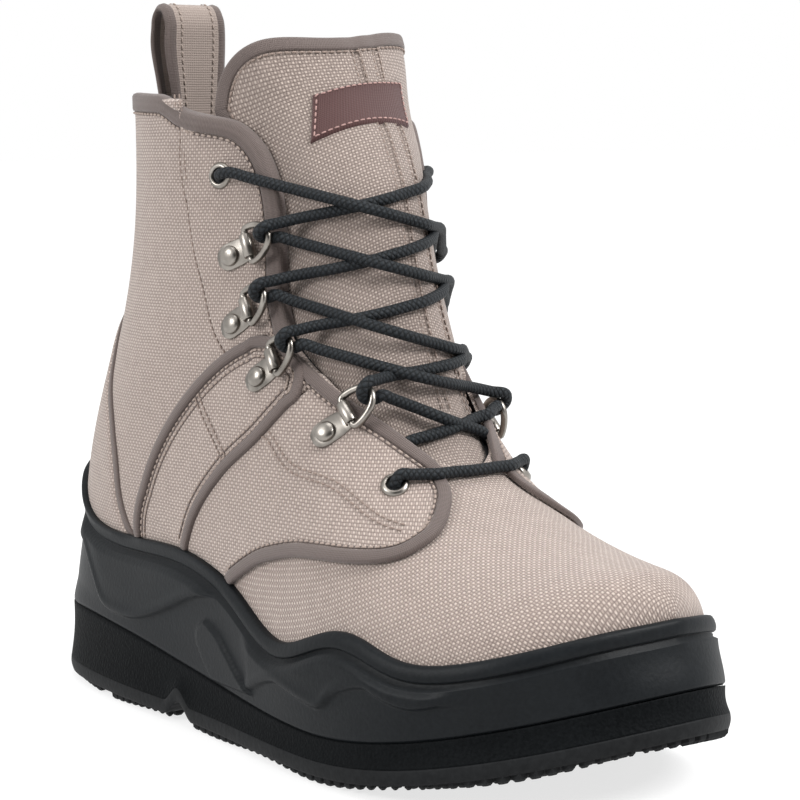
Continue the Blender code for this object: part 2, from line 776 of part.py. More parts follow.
def build_insole(tree):
    """Footbed that fills the bottom of the upper just inside its wall."""
    rings = []
    margin = UPPER_WALL + 2.0 * CURVE_CLEARANCE
    for lift, trim in ((0.0, 0.0075), (INSOLE_PAD, 0.0018)):
        ring = []
        for step in range(OUTLINE_STEPS):
            place = step / OUTLINE_STEPS
            point, normal, _ = outline_at(place)
            low = seam_height(station(point)) + CURVE_CLEARANCE + margin + SEAM_SINK
            reach = 0.0
            for level in (0.0, 0.5 * INSOLE_PAD, INSOLE_PAD):
                start = Vector((point.x, point.y, low + level)) + normal * OUTSIDE
                hit = tree.ray_cast(start, -normal, OUTSIDE + INSIDE)
                if hit[3] is not None:
                    reach = max(reach, hit[3] - OUTSIDE)
            inset = reach + margin + trim
            spot = Vector((point.x, point.y, low + lift))
            for _ in range(30):
                above = spot - normal * inset - DOWN * OUTSIDE
                hit = tree.ray_cast(above, DOWN, 2.5 * OUTSIDE)
                if hit[0] is None or hit[0].z < low + lift - 4.0 * CURVE_CLEARANCE:
                    break
                inset += 0.001
            ring.append(spot - normal * inset)
        rings.append(ring)
    return slab("insole", rings, LINING)


def lip_turn(row_at, start):
    """Turn at which a rail going down from start meets the rand's top edge."""
    low = 0.13
    high = start
    for _ in range(24):
        middle = (low + high) / 2.0
        point = last_point(row_at(middle), middle)
        if point.z > lip_at_point(point) + LIP_GAP:
            high = middle
        else:
            low = middle
    return high


def lip_at_point(point):
    """Height of the rand's top beside a point of the upper."""
    flat = Vector((point.x, point.y, 0.0))
    near = min(OUTLINE_RING, key=lambda spot: (spot[0] - flat).length_squared)
    return lip_height(near[2])


# The inner side's lacing sits this much further back, in turns
INNER_BACK = 0.026


def ring_turn(part, key, side):
    """Turn of a rivet or ring on its own side of the boot."""
    return side_turn(part[key] - (0.0 if side > 0 else INNER_BACK), side)


def side_turn(turn, side):
    return turn if side > 0 else 1.0 - turn


def tape_lift(share, ends):
    """Extra thickness of the bound edge at a rail's share across the panel."""
    low = "low" in ends and share < 0.5 * sum(LOW_TAPE_RAILS)
    high = "high" in ends and share > 0.5 * sum(HIGH_TAPE_RAILS)
    return EDGE_TAPE if low or high else 0.0


LOW_TAPE_RAILS = (0.12, 0.14)
HIGH_TAPE_RAILS = (0.86, 0.88)


def overlay(name, tree, spots, heights, thickness, finish, side=1):
    """Sheet laid over a faceted surface: spots are rows and turns, heights its near face's lifts."""
    normals = [[last_frame(row, turn)[0] for row, turn in rail] for rail in spots]
    near = [[skin(row, turn, height) for (row, turn), height in zip(rail, lifts)]
            for rail, lifts in zip(spots, heights)]
    near = lifted(near, normals, seat(tree, near, normals, side))
    far = lifted(near, normals, thickness)
    if side > 0:
        return shell(name, far, near, finish)
    return shell(name, near, far, finish)


def panel(name, side, tree, spot, taped, steps):
    """Overlay on the upper; spot(across, along) gives row and turn on the outer side."""
    spots = []
    thickness = []
    rails = [0.0, 0.5, 1.0]
    rails += LOW_TAPE_RAILS if "low" in taped else ()
    rails += HIGH_TAPE_RAILS if "high" in taped else ()
    for across in sorted(rails):
        rail = [spot(across, step / steps) for step in range(steps + 1)]
        spots.append([(row, side_turn(turn, side)) for row, turn in rail])
        thickness.append([PANEL_CLOTH + tape_lift(across, taped)] * len(rail))
    heights = [[CLEARANCE] * len(rail) for rail in spots]
    return overlay(name, tree, spots, heights, thickness, CLOTH)


def strap_row(turn, across):
    low = table_at([(part[0], part[1]) for part in STRAP], turn)
    high = table_at([(part[0], part[2]) for part in STRAP], turn)
    return blend(low, high, across)


def edge_turn(row_at):
    """Turn at which a rail reaches the throat's edge, searched forwards."""
    low = 0.30
    high = 0.497
    for _ in range(24):
        middle = (low + high) / 2.0
        if middle > 0.5 - throat_gap(row_at(middle)):
            high = middle
        else:
            low = middle
    return low


SEAM_GAP = 0.06


def strap_spot(across, along):
    row_at = lambda turn: strap_row(turn, across)
    front = edge_turn(row_at)
    turn = blend(lip_turn(row_at, front), front, along)
    return row_at(turn), turn


def quarter_top(turn):
    """Upper edge of the lower quarter: under the strap, then along the throat."""
    under_strap = strap_row(turn, 0.0) - SEAM_GAP
    low = 7.0
    high = 12.0
    for _ in range(24):
        middle = (low + high) / 2.0
        if turn > 0.5 - throat_gap(middle):
            high = middle
        else:
            low = middle
    return min(under_strap, low)


def quarter_spot(across, along):
    row_at = lambda turn: blend(table_at(QUARTER_FOOT, turn), quarter_top(turn), across)
    front = QUARTER_FOOT[-1][0]
    turn = blend(lip_turn(row_at, front), front, along)
    return row_at(turn), turn


def facing_spot(across, along):
    """High facing between the side seam (0) and the throat (1), from the strap to the collar."""
    low = 12.8
    for _ in range(4):
        turn = blend(table_at(SIDE_SEAM, low), 0.5 - throat_gap(low), across)
        low = strap_row(turn, 1.0) + SEAM_GAP
    row = blend(low, LAST_ROW, along)
    turn = blend(table_at(SIDE_SEAM, row), 0.5 - throat_gap(row), across)
    return collared(row, turn), turn


def build_backstay(tree):
    """Rear panel that wraps the heel from side to side, from the rand up."""
    count = 10
    levels = 7
    spots = []
    for step in range(count + 1):
        across = step / count
        low_row = rand_row(across)
        rail = []
        for level in range(levels + 1):
            row = blend(low_row, BACKSTAY[-1][0], level / levels)
            half = table_at(BACKSTAY, row)
            rail.append((row, blend(half, -half, across)))
        spots.append(rail)
    heights = [[CLEARANCE] * (levels + 1)] * (count + 1)
    thickness = [[PANEL_CLOTH] * (levels + 1)] * (count + 1)
    return overlay("backstay", tree, spots, heights, thickness, CLOTH)


def rand_row(across):
    """Row at which a rail of the backstay clears the rand's top edge."""
    low = BACKSTAY[0][0] - 1.2
    high = BACKSTAY[-1][0]
    for _ in range(24):
        middle = (low + high) / 2.0
        half = table_at(BACKSTAY, middle)
        point = last_point(middle, blend(half, -half, across))
        if point.z > lip_at_point(point) + 1.6 * LIP_GAP:
            high = middle
        else:
            low = middle
    return high


TONGUE_ROWS = (7.3, 8.4, 9.6, 11.0, 12.6, 14.2, 15.8, 17.4, 18.8, 19.9, 20.7, 21.4)
TONGUE_STEPS = 10


def tongue_lift(row, share):
    """Outer face of the tongue: tucked under the upper's edges, fuller in the middle."""
    tucked = -(UPPER_WALL + 3.0 * CURVE_CLEARANCE)
    full = ease((row - 9.0) / 1.5)
    return blend(tucked, -0.0004, full * ease((0.55 - abs(share)) / 0.4))


def tongue_half(row):
    """Half width of the tongue in turns."""
    if row <= 18.0:
        return throat_gap(max(row, 8.1)) + 0.030
    top = ease((row - 19.9) / 1.5)
    return blend(blend(0.169, 0.188, ease((row - 18.0) / 2.0)), 0.130, top * top)


def build_tongue(tree):
    """Padded tongue, its edges under the upper and its middle filling the throat."""
    spots = []
    heights = []
    thickness = []
    for row in TONGUE_ROWS:
        shares = [2.0 * step / TONGUE_STEPS - 1.0 for step in range(TONGUE_STEPS + 1)]
        spots.append([(row, 0.5 + share * tongue_half(row)) for share in shares])
        heights.append([tongue_lift(row, share) for share in shares])
        thickness.append([-TONGUE_PAD * (1.0 - 0.55 * ease((abs(share) - 0.7) / 0.3))
                          for share in shares])
    return overlay("tongue", tree, spots, heights, thickness, CLOTH, side=-1)


def build_label(tree):
    """Bare sewn patch on the front of the tongue."""
    middle_row = 17.32
    middle_turn = 0.511
    down = 0.5 * LABEL_DEPTH / (last_point(18.0, 0.5) - last_point(17.0, 0.5)).length
    around = 0.5 * LABEL_WIDTH / (last_point(17.5, 0.51) - last_point(17.5, 0.50)).length * 0.01
    spots = [[(middle_row + blend(-down, down, level / 2.0),
               middle_turn + blend(-around, around, step / 6.0)) for step in range(7)]
             for level in range(3)]
    heights = [[tongue_lift(row, (turn - 0.5) / tongue_half(row)) for row, turn in rail]
               for rail in spots]
    thickness = [[LABEL_CLOTH] * 7] * 3
    return overlay("tongue_label", tree, spots, heights, thickness, PATCH)


COLLAR_TAPE_END = 0.262


def build_collar_tape():
    """Binding folded over the collar's edge, from throat corner to throat corner round the back."""
    depth = 0.006
    reach = BINDING
    out = CURVE_CLEARANCE
    inside = -UPPER_WALL - CURVE_CLEARANCE
    half = [upper_turn(LAST_ROW, step) for step in range(TURN_STEPS + 1)]
    turns = [turn for turn in half if turn < COLLAR_TAPE_END]
    turns.append(COLLAR_TAPE_END)
    turns = [-turn for turn in reversed(turns[1:])] + turns
    sections = []
    for turn in turns:
        row = collar_row(turn)
        normal, up, _ = last_frame(row, turn)
        edge = last_point(row, turn)
        corners = ((out, -depth), (out, CLEARANCE), (inside, CLEARANCE), (inside, -depth),
                   (inside - reach, -depth), (inside - reach, CLEARANCE + reach),
                   (out + reach, CLEARANCE + reach), (out + reach, -depth))
        sections.append([edge + normal * away + up * along for away, along in corners])
    points = [point for section in sections for point in section]
    size = len(sections[0])
    count = len(sections) - 1
    faces = [tuple(range(size)), tuple(range(count * size, (count + 1) * size))]
    for index in range(count):
        for corner in range(size):
            after = (corner + 1) % size
            faces.append((index * size + corner, index * size + after,
                          (index + 1) * size + after, (index + 1) * size + corner))
    return add_object("collar_tape", mesh_from("collar_tape", points, faces), TAPE)


def build_pull_loop():
    """Webbing loop over the collar at the back: a leg outside, a leg inside, both cupped like it."""
    top_row = collar_row(0.0)
    per_turn = (last_point(top_row, 0.01) - last_point(top_row, -0.01)).length / 0.02
    per_row = (last_point(top_row, 0.0) - last_point(top_row - 1.0, 0.0)).length
    edge = last_point(top_row, 0.0)
    away = BINDING + 2.0 * CURVE_CLEARANCE + 0.0002
    outside = edge.y + away + 0.0016
    inside = edge.y - UPPER_WALL - away - 0.0002
    middle = (outside + inside) / 2.0
    half = (outside - inside) / 2.0
    top = edge.z + LOOP_RISE
    bend = 0.007
    free = [(outside, edge.z + 0.5 * LOOP_RISE)]
    for step in range(6):
        angle = math.pi * step / 5.0
        free.append((middle + half * math.cos(angle), top - bend + bend * math.sin(angle)))
    free.append((inside, edge.z + 0.5 * LOOP_RISE))
    near = []
    far = []
    for across in (-0.5, -0.25, 0.0, 0.25, 0.5):
        turn = across * LOOP_WIDTH / per_turn
        low = top_row - LOOP_SEAT / per_row
        rail = [skin(low, turn, away), skin(top_row, turn, away)]
        x = edge.x - across * LOOP_WIDTH
        rail += [Vector((x, y, z)) for y, z in free]
        rail += [skin(top_row, turn, -UPPER_WALL - away), skin(low, turn, -UPPER_WALL - away)]
        near.append(rail)
        cover = []
        for index, point in enumerate(rail):
            way = rail[min(index + 1, len(rail) - 1)] - rail[max(index - 1, 0)]
            way.x = 0.0
            way.normalize()
            cover.append(point + Vector((0.0, way.z, -way.y)) * LOOP_TAPE)
        far.append(cover)
    return shell("pull_loop", far, near, TAPE)


def on_panel(tree, row, turn):
    """Point of a panel's outer face at a row and turn."""
    normal = last_frame(row, turn)[0]
    hit = tree.ray_cast(skin(row, turn, PROBE), -normal, 2.0 * PROBE)
    return hit[0] if hit[0] is not None else skin(row, turn, PANEL_FACE)


def spot_frame(tree, row, turn):
    """Matrix of a spot on a panel: Z outward, Y up the rows, X round towards the throat."""
    normal, up, _ = last_frame(row, turn)
    across = up.cross(normal).normalized()
    up = normal.cross(across)
    place = on_panel(tree, row, turn)
    return Matrix((
        (across.x, up.x, normal.x, place.x),
        (across.y, up.y, normal.y, place.y),
        (across.z, up.z, normal.z, place.z),
        (0.0, 0.0, 0.0, 1.0)))


def turned(name, profile, sides, finish, closed=True):
    """Solid turned round Z from (radius, height) points."""
    points = []
    faces = []
    count = len(profile)
    for step in range(sides):
        angle = 2.0 * math.pi * step / sides
        for radius, height in profile:
            points.append(Vector((radius * math.cos(angle), radius * math.sin(angle), height)))
    for step in range(sides):
        after = (step + 1) % sides
        for index in range(count if closed else count - 1):
            beside = (index + 1) % count
            faces.append((step * count + index, after * count + index,
                          after * count + beside, step * count + beside))
    if not closed:
        faces.append(tuple(step * count for step in range(sides)))
        faces.append(tuple(step * count + count - 1 for step in range(sides)))
    return add_object(name, mesh_from(name, points, faces), finish)


PANEL_FACE = CURVE_CLEARANCE + PANEL_CLOTH


def eyelet_spots(side):
    return ((TOP_EYELET[0], side_turn(TOP_EYELET[1], side)),
            (LOW_EYELET[0], side_turn(LOW_EYELET[1], side)))


def build_eyelet(name, row, turn, cut_items):
    """Flanged eyelet through panel and upper, whose holes are cut here too."""
    frame = spot_frame(tree_of(cut_items[0]), row, turn)
    barrel = EYELET_HOLE + EYELET_METAL
    deep = -(PANEL_FACE + UPPER_WALL) + 0.0002
    rest = 3.0 * CLEARANCE
    profile = ((EYELET_HOLE, deep), (barrel, deep), (barrel, rest), (EYELET_FLANGE, rest),
               (EYELET_FLANGE, rest + EYELET_METAL), (EYELET_HOLE, rest + 0.0010))
    item = turned(name, profile, 10, NICKEL)
    item.matrix_world = frame
    for cut_item in cut_items:
        hole = barrel + CLEARANCE
        punch = turned("punch", ((hole, -0.009), (hole, 0.006)), 10, NICKEL, closed=False)
        punch.matrix_world = frame
        bpy.context.view_layer.update()
        cut(cut_item, punch)
    return item


def clip_frame(part, side, tree):
    """Matrix of a ring's clip: origin at the rivet on the panel, X towards the ring, Z outward."""
    turns = [ring_turn(part, key, side) for key in ("rivet_turn", "ring_turn")]
    rivet = on_panel(tree, part["rivet_row"], turns[0])
    ring = on_panel(tree, part["ring_row"], turns[1])
    middle_row = blend(part["rivet_row"], part["ring_row"], 0.45)
    normal = last_frame(middle_row, blend(turns[0], turns[1], 0.45))[0]
    forward = ring - rivet
    forward = (forward - normal * forward.dot(normal)).normalized()
    over = normal.cross(forward)
    place = rivet + normal * CLEARANCE
    spots = [(x * CLIP_REACH, y * CLIP_WIDTH / 2.0) for x in (-0.4, 0.0, 0.35, 0.7, 1.0)
             for y in (-1.0, -0.5, 0.0, 0.5, 1.0)]
    for x, y in spots:
        start = place + forward * x + over * y
        hit = tree.ray_cast(start + normal * PROBE, -normal, 2.0 * PROBE)
        if hit[3] is not None:
            place += normal * max(0.0, PROBE - hit[3] + CLEARANCE)
    return Matrix((
        (forward.x, over.x, normal.x, place.x),
        (forward.y, over.y, normal.y, place.y),
        (forward.z, over.z, normal.z, place.z),
        (0.0, 0.0, 0.0, 1.0)))


BAR_HEIGHT = RING_WIRE + 2.0 * CLEARANCE + CLIP_METAL + 0.0004


def build_clip(name, frame):
    """Riveted plate whose front edge curls round the ring's bar."""
    inner = RING_WIRE + CLEARANCE
    outer = inner + CLIP_METAL
    curl = [math.radians(angle) for angle in (-90, -40, 10, 60, 110, 170)]
    back = -(RIVET_RADIUS + 0.0016)
    rounded = back + 0.0022
    outline = [(back, 0.0), (rounded, 0.0), (CLIP_REACH - 0.003, 0.0)]
    outline += [(CLIP_REACH + outer * math.cos(angle), BAR_HEIGHT + outer * math.sin(angle))
                for angle in curl]
    outline += [(CLIP_REACH + inner * math.cos(angle), BAR_HEIGHT + inner * math.sin(angle))
                for angle in reversed(curl)]
    outline += [(CLIP_REACH - 0.0032, CLIP_METAL), (rounded, CLIP_METAL), (back, CLIP_METAL)]
    half = CLIP_WIDTH / 2.0
    count = len(outline)
    widths = [half * (0.5 if x < rounded else 1.0) for x, _ in outline]
    points = [Vector((x, -width, z)) for (x, z), width in zip(outline, widths)]
    points += [Vector((x, width, z)) for (x, z), width in zip(outline, widths)]
    faces = [tuple(range(count)), tuple(range(2 * count - 1, count - 1, -1))]
    for step in range(count):
        after = (step + 1) % count
        faces.append((step, after, count + after, count + step))
    item = add_object(name, mesh_from(name, points, faces), NICKEL)
    dome = [(RIVET_RADIUS, 0.5 * CLIP_METAL), (RIVET_RADIUS, CLIP_METAL + 0.0004),
            (0.5 * RIVET_RADIUS, CLIP_METAL + 0.0013)]
    rivet = turned("rivet", dome, 7, NICKEL, closed=False)
    cut(item, rivet, "UNION")
    item.matrix_world = frame
    return item


def ring_path():
    """D ring's centre line about its bar, in its own plane: X reach, Y along the bar."""
    half = RING_WIDTH / 2.0 - RING_WIRE
    corner = 0.0011
    path = [(0.0, -half + corner), (0.0, half - corner), (corner, half)]
    for step in range(1, 6):
        angle = math.pi / 2.0 - math.pi * step / 6.0
        path.append((corner + (RING_REACH - corner) * math.cos(angle), half * math.sin(angle)))
    path.append((corner, -half))
    return path


def build_ring(name, frame):
    """D ring lying in its clip, its bow lifted off the panel."""
    path = [Vector((x, y, 0.0)) for x, y in ring_path()]
    sides = 5
    rings = []
    for index, point in enumerate(path):
        way = (path[(index + 1) % len(path)] - path[index - 1]).normalized()
        side = Vector((way.y, -way.x, 0.0))
        rings.append([point + (side * math.cos(2.0 * math.pi * step / sides)
                               + Vector((0.0, 0.0, math.sin(2.0 * math.pi * step / sides)))) * RING_WIRE
                      for step in range(sides)])
    item = loop_solid(name, rings, NICKEL, 80.0)
    item.matrix_world = frame @ Matrix.Translation((CLIP_REACH, 0.0, BAR_HEIGHT)) \
        @ Matrix.Rotation(-RING_TILT, 4, "Y")
    return item


def ring_bow(frame):
    """Centre of a ring's bow, where the lace goes round it."""
    tilted = Matrix.Rotation(-RING_TILT, 4, "Y") @ Vector((RING_REACH, 0.0, 0.0))
    return frame @ (Vector((CLIP_REACH, 0.0, BAR_HEIGHT)) + tilted)


def lace_bar(name, start, end, raised):
    """One bar of lace across the tongue; start and end are (row, turn, point) of its ends."""
    steps = 6
    path = []
    tongue_clear = LACE / 2.0 + 2.0 * CURVE_CLEARANCE
    for step in range(steps + 1):
        share = step / steps
        row = blend(start[0], end[0], share)
        turn = blend(start[1], end[1], share)
        middle = (turn - 0.5) / tongue_half(row)
        lift = max(tongue_lift(row, middle), -0.0004) + tongue_clear
        lift += raised * math.exp(-((share - 0.5) / 0.14) ** 2)
        path.append(skin(row, turn, lift))
    for index, weight in ((0, 1.0), (1, 0.6), (2, 0.15)):
        path[index] += (start[2] - skin(start[0], start[1], tongue_clear)) * weight
        path[-1 - index] += (end[2] - skin(end[0], end[1], tongue_clear)) * weight
    return add_object(name, tube_mesh(name, path, LACE / 2.0, 5), CORD, 80.0)


def ring_end(part, side, frame):
    """Row, turn and point where a bar of lace stops short of a ring."""
    stop = LACE / 2.0 + RING_WIRE + 2.0 * CLEARANCE
    forward = frame.to_3x3() @ Vector((1.0, 0.0, 0.0))
    return (part["ring_row"], ring_turn(part, "ring_turn", side) + 0.030 * side,
            ring_bow(frame) + forward * stop)


def eyelet_end(spot, side):
    """Row, turn and point where a bar of lace stops short of an eyelet."""
    row = spot[0]
    turn = side_turn(spot[1] + 0.040, side)
    stop = LACE / 2.0 + 2.0 * EDGE_TAPE + 2.0 * CURVE_CLEARANCE
    return row, turn, skin(row, turn, PANEL_FACE + stop)


def build_lace(ends):
    """The lacing over the tongue: crossings and the straight bar at the bottom, one solid.

    ends maps each side to its lacing stations from the top: row, turn and point.
    """
    lace = lace_bar("lace", ends["outer"][-1], ends["inner"][-1], 0.0)
    for index in range(len(ends["outer"]) - 1):
        over = lace_bar("over", ends["inner"][index], ends["outer"][index + 1], 0.8 * LACE)
        cut(lace, over, "UNION")
        under = lace_bar("under", ends["outer"][index], ends["inner"][index + 1], 0.0)
        cut(lace, under, "UNION")
    return lace


def build_side(side_name, side, upper, tree):
    """Panels, eyelets, clips and rings of one side; returns where the lace's bars end."""
    facing = panel(f"{side_name}_facing", side, tree, facing_spot, ("high",), 9)
    strap = panel(f"{side_name}_saddle_strap", side, tree, strap_spot, ("low", "high"), 9)
    quarter = panel(f"{side_name}_quarter", side, tree, quarter_spot, ("low", "high"), 10)
    top_spot, low_spot = eyelet_spots(side)
    build_eyelet(f"{side_name}_eyelet_top", *top_spot, (facing, upper))
    build_eyelet(f"{side_name}_eyelet_low", *low_spot, (quarter, upper))
    ends = [eyelet_end(TOP_EYELET, side)]
    for number, (columns, carrier) in enumerate(zip(RINGS, (facing, facing, strap, quarter)), 1):
        part = dict(zip(RING_COLUMNS, columns))
        frame = clip_frame(part, side, tree_of(carrier))
        build_clip(f"{side_name}_clip_{number}", frame)
        build_ring(f"{side_name}_ring_{number}", frame)
        ends.append(ring_end(part, side, frame))
    ends.append(eyelet_end(LOW_EYELET, side))
    return ends


def build():
    clear_scene()
    build_outsole()
    build_midsole()
    upper = build_upper()
    tree = tree_of(upper)
    build_rand(tree)
    build_insole(tree)
    build_label(tree_of(build_tongue(tree)))
    build_backstay(tree)
    ends = {name: build_side(name, side, upper, tree) for name, side in SIDES}
    build_collar_tape()
    build_pull_loop()
    build_lace(ends)


build()
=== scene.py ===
"""Looks of the wading boot: woven upper and bound overlays, waved rubber rand, foam and tread,
laced D rings, padded tongue and pull loop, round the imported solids."""

import math

import bmesh
import bpy
import numpy as np
from mathutils import Matrix, Vector
from mathutils.bvhtree import BVHTree


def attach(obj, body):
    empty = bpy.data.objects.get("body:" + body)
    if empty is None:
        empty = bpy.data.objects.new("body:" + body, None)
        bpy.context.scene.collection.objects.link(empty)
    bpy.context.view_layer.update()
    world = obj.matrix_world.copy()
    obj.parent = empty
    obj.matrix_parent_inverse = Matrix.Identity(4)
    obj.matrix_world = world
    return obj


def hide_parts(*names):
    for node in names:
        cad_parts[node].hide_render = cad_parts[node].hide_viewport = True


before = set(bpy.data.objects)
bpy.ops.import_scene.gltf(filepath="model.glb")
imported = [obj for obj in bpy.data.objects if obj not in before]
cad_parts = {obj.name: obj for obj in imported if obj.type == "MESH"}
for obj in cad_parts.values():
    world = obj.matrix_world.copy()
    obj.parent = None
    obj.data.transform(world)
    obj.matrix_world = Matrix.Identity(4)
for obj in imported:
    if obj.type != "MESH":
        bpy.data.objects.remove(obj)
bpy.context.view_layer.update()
BODY = "root"

# The part's driving sizes, in metres
SOLE_LENGTH = 0.312
BALL_WIDTH = 0.118
HEEL_REST = 0.044
TOE_SPRING = 0.019
HEEL_STACK = 0.029
BALL_STACK = 0.015
TREAD_LAYER = 0.0062
TREAD_FLARE = 0.0015
RAND_HEIGHT = 0.085
INSTEP_HEIGHT = 0.146
COLLAR_HEIGHT = 0.220
SHAFT_WIDTH = 0.093
UPPER_WALL = 0.0022
RAND_WALL = 0.0036
LIP_BEAD = 0.006
NOTCH_PLACE = 0.385
NOTCH_WIDTH = 0.019
NOTCH_DEPTH = 0.0058
LUG_HEIGHT = 0.0026
SPRING_START = 0.657
LAST_ROW = 20.0
THROAT_ROW = 7.9
HEEL_SEAT_ROW = 13.6
SEAM_LIFT = 0.0005

# Looks' own sizes
PANEL_LIFT = 0.0016
TAPE_WIDTH = 0.0045
TAPE_LIFT = 0.0010
STITCH_LENGTH = 0.0018
STITCH_PITCH = 0.0026
THREAD = 0.00028
WEAVE_PITCH = 0.00108
WEAVE_DEPTH = 0.0005
LACE = 0.0039
INNER_BACK = 0.026

# Foot sections of the last, toe to instep. Shares of SOLE_LENGTH (along), INSTEP_HEIGHT (height)
# and BALL_WIDTH (outer, inner half widths and middle); widest is the share of the section's height.
FOOT_COLUMNS = ("top_along", "top_height", "low_along", "outer", "inner", "middle",
                "widest", "top_round", "low_round")
FOOT_SECTIONS = (
    (0.978, 0.390, 0.971, 0.000, 0.000, 0.056, 0.30, 2.2, 3.0),
    (0.974, 0.432, 0.965, 0.110, 0.090, 0.049, 0.28, 2.2, 3.3),
    (0.963, 0.463, 0.951, 0.216, 0.186, 0.033, 0.26, 2.2, 3.5),
    (0.945, 0.486, 0.928, 0.306, 0.276, 0.016, 0.24, 2.2, 3.5),
    (0.915, 0.498, 0.892, 0.380, 0.344, -0.004, 0.22, 2.2, 3.5),
    (0.872, 0.516, 0.846, 0.424, 0.388, -0.020, 0.21, 2.2, 3.4),
    (0.820, 0.547, 0.788, 0.458, 0.420, -0.031, 0.20, 2.2, 3.3),
    (0.765, 0.597, 0.718, 0.476, 0.430, -0.036, 0.20, 2.15, 3.2),
    (0.711, 0.672, 0.640, 0.472, 0.418, -0.033, 0.21, 2.1, 3.1),
    (0.670, 0.771, 0.550, 0.452, 0.394, -0.022, 0.23, 2.05, 3.0),
    (0.636, 0.880, 0.458, 0.430, 0.374, -0.009, 0.25, 2.0, 2.9),
)
# Shaft sections, instep to collar. Heights are shares of the rise from INSTEP_HEIGHT to
# COLLAR_HEIGHT in front and from the sole to COLLAR_HEIGHT behind; widths are shares of SHAFT_WIDTH.
SHAFT_COLUMNS = ("top_along", "top_rise", "low_along", "low_rise", "outer", "inner", "middle",
                 "widest", "top_round", "low_round")
SHAFT_SECTIONS = (
    (0.609, 0.000, 0.359, 0.000, 0.530, 0.475, 0.006, 0.27, 2.0, 2.8),
    (0.589, 0.205, 0.244, 0.000, 0.518, 0.482, 0.026, 0.31, 2.0, 2.7),
    (0.573, 0.390, 0.122, 0.000, 0.510, 0.490, 0.046, 0.36, 2.0, 2.6),
    (0.558, 0.550, 0.036, 0.055, 0.502, 0.498, 0.064, 0.42, 2.0, 2.3),
    (0.539, 0.677, 0.030, 0.222, 0.497, 0.500, 0.082, 0.48, 2.0, 2.2),
    (0.520, 0.790, 0.063, 0.394, 0.491, 0.502, 0.100, 0.50, 2.0, 2.1),
    (0.501, 0.883, 0.101, 0.552, 0.488, 0.506, 0.110, 0.50, 2.0, 2.1),
    (0.485, 0.968, 0.124, 0.700, 0.488, 0.511, 0.115, 0.50, 2.0, 2.1),
    (0.472, 1.050, 0.134, 0.850, 0.490, 0.516, 0.117, 0.50, 2.0, 2.1),
    (0.460, 1.130, 0.137, 1.000, 0.493, 0.520, 0.118, 0.50, 2.0, 2.1),
)
# Sole outline from heel back to toe tip: shares of SOLE_LENGTH and BALL_WIDTH, then the rand's top
# as a share of RAND_HEIGHT.
OUTLINE = (
    (0.000, 0.000, 0.000, 0.000, 1.000),
    (0.019, 0.144, 0.019, 0.153, 0.988),
    (0.071, 0.280, 0.071, 0.294, 0.925),
    (0.154, 0.360, 0.154, 0.370, 0.772),
    (0.272, 0.407, 0.272, 0.383, 0.732),
    (0.385, 0.428, 0.385, 0.380, 0.735),
    (0.497, 0.462, 0.513, 0.394, 0.640),
    (0.609, 0.508, 0.625, 0.432, 0.492),
    (0.712, 0.530, 0.721, 0.470, 0.588),
    (0.801, 0.504, 0.808, 0.466, 0.528),
    (0.881, 0.415, 0.891, 0.420, 0.552),
    (0.946, 0.280, 0.952, 0.314, 0.622),
    (0.984, 0.127, 0.987, 0.186, 0.660),
    (1.000, -0.050, 1.000, 0.050, 0.676),
)
# Sole thickness along the foot: share of SOLE_LENGTH, share of the step from ball to heel stack
STACK = ((0.00, 0.86), (0.14, 1.00), (0.27, 0.84), (0.40, 0.46), (0.54, 0.14), (0.66, 0.00),
         (0.80, 0.04), (0.90, 0.09), (1.00, 0.13))
# Half gap of the throat, in turns, by row
THROAT = ((8.1, 0.038), (9.0, 0.060), (10.0, 0.087), (11.0, 0.108), (12.0, 0.120), (13.0, 0.120),
          (14.0, 0.116), (15.0, 0.117), (16.0, 0.122), (17.0, 0.129), (18.0, 0.139), (19.0, 0.160),
          (19.6, 0.190))
# Saddle strap edges: turn, row of its lower edge, row of its upper edge
STRAP = ((0.215, 11.25, 12.40), (0.245, 11.35, 12.80), (0.270, 11.50, 13.08), (0.300, 11.42, 13.18),
         (0.333, 11.14, 13.02), (0.360, 11.02, 12.62), (0.384, 10.94, 12.20), (0.400, 11.05, 12.10))
# Lower quarter's lower edge: turn, row
QUARTER_FOOT = ((0.240, 10.50), (0.264, 10.20), (0.285, 9.85), (0.317, 8.98), (0.349, 7.85),
                (0.372, 7.18), (0.404, 6.84), (0.432, 7.02), (0.450, 7.30), (0.463, 7.80))
# Shaft facing's rear seam: row, turn
SIDE_SEAM = ((12.0, 0.345), (13.2, 0.334), (14.4, 0.322), (15.8, 0.299), (17.2, 0.285),
             (18.4, 0.280), (19.8, 0.281))
# Backstay's front edge: row, half width in turns
BACKSTAY = ((12.6, 0.212), (13.3, 0.224), (13.9, 0.226), (14.5, 0.213), (15.3, 0.184),
            (16.2, 0.150), (16.9, 0.105), (17.35, 0.050))
# Lacing hardware: the rivet's row and turn, then the ring's
RING_COLUMNS = ("rivet_row", "rivet_turn", "ring_row", "ring_turn")
RINGS = (
    (14.80, 0.343, 14.42, 0.380),
    (13.42, 0.345, 13.12, 0.378),
    (11.98, 0.350, 11.70, 0.382),
    (9.95, 0.383, 9.75, 0.419),
)
TOP_EYELET = (17.0, 0.327)
LOW_EYELET = (8.12, 0.420)


def run_of(points):
    """Distance of each point from the first, along the line."""
    return np.concatenate([[0.0], np.cumsum(np.linalg.norm(np.diff(points, axis=0), axis=1))])


def blend(low, high, share):
    return low + (high - low) * share


def ease(value):
    value = np.clip(value, 0.0, 1.0)
    return value * value * (3.0 - 2.0 * value)


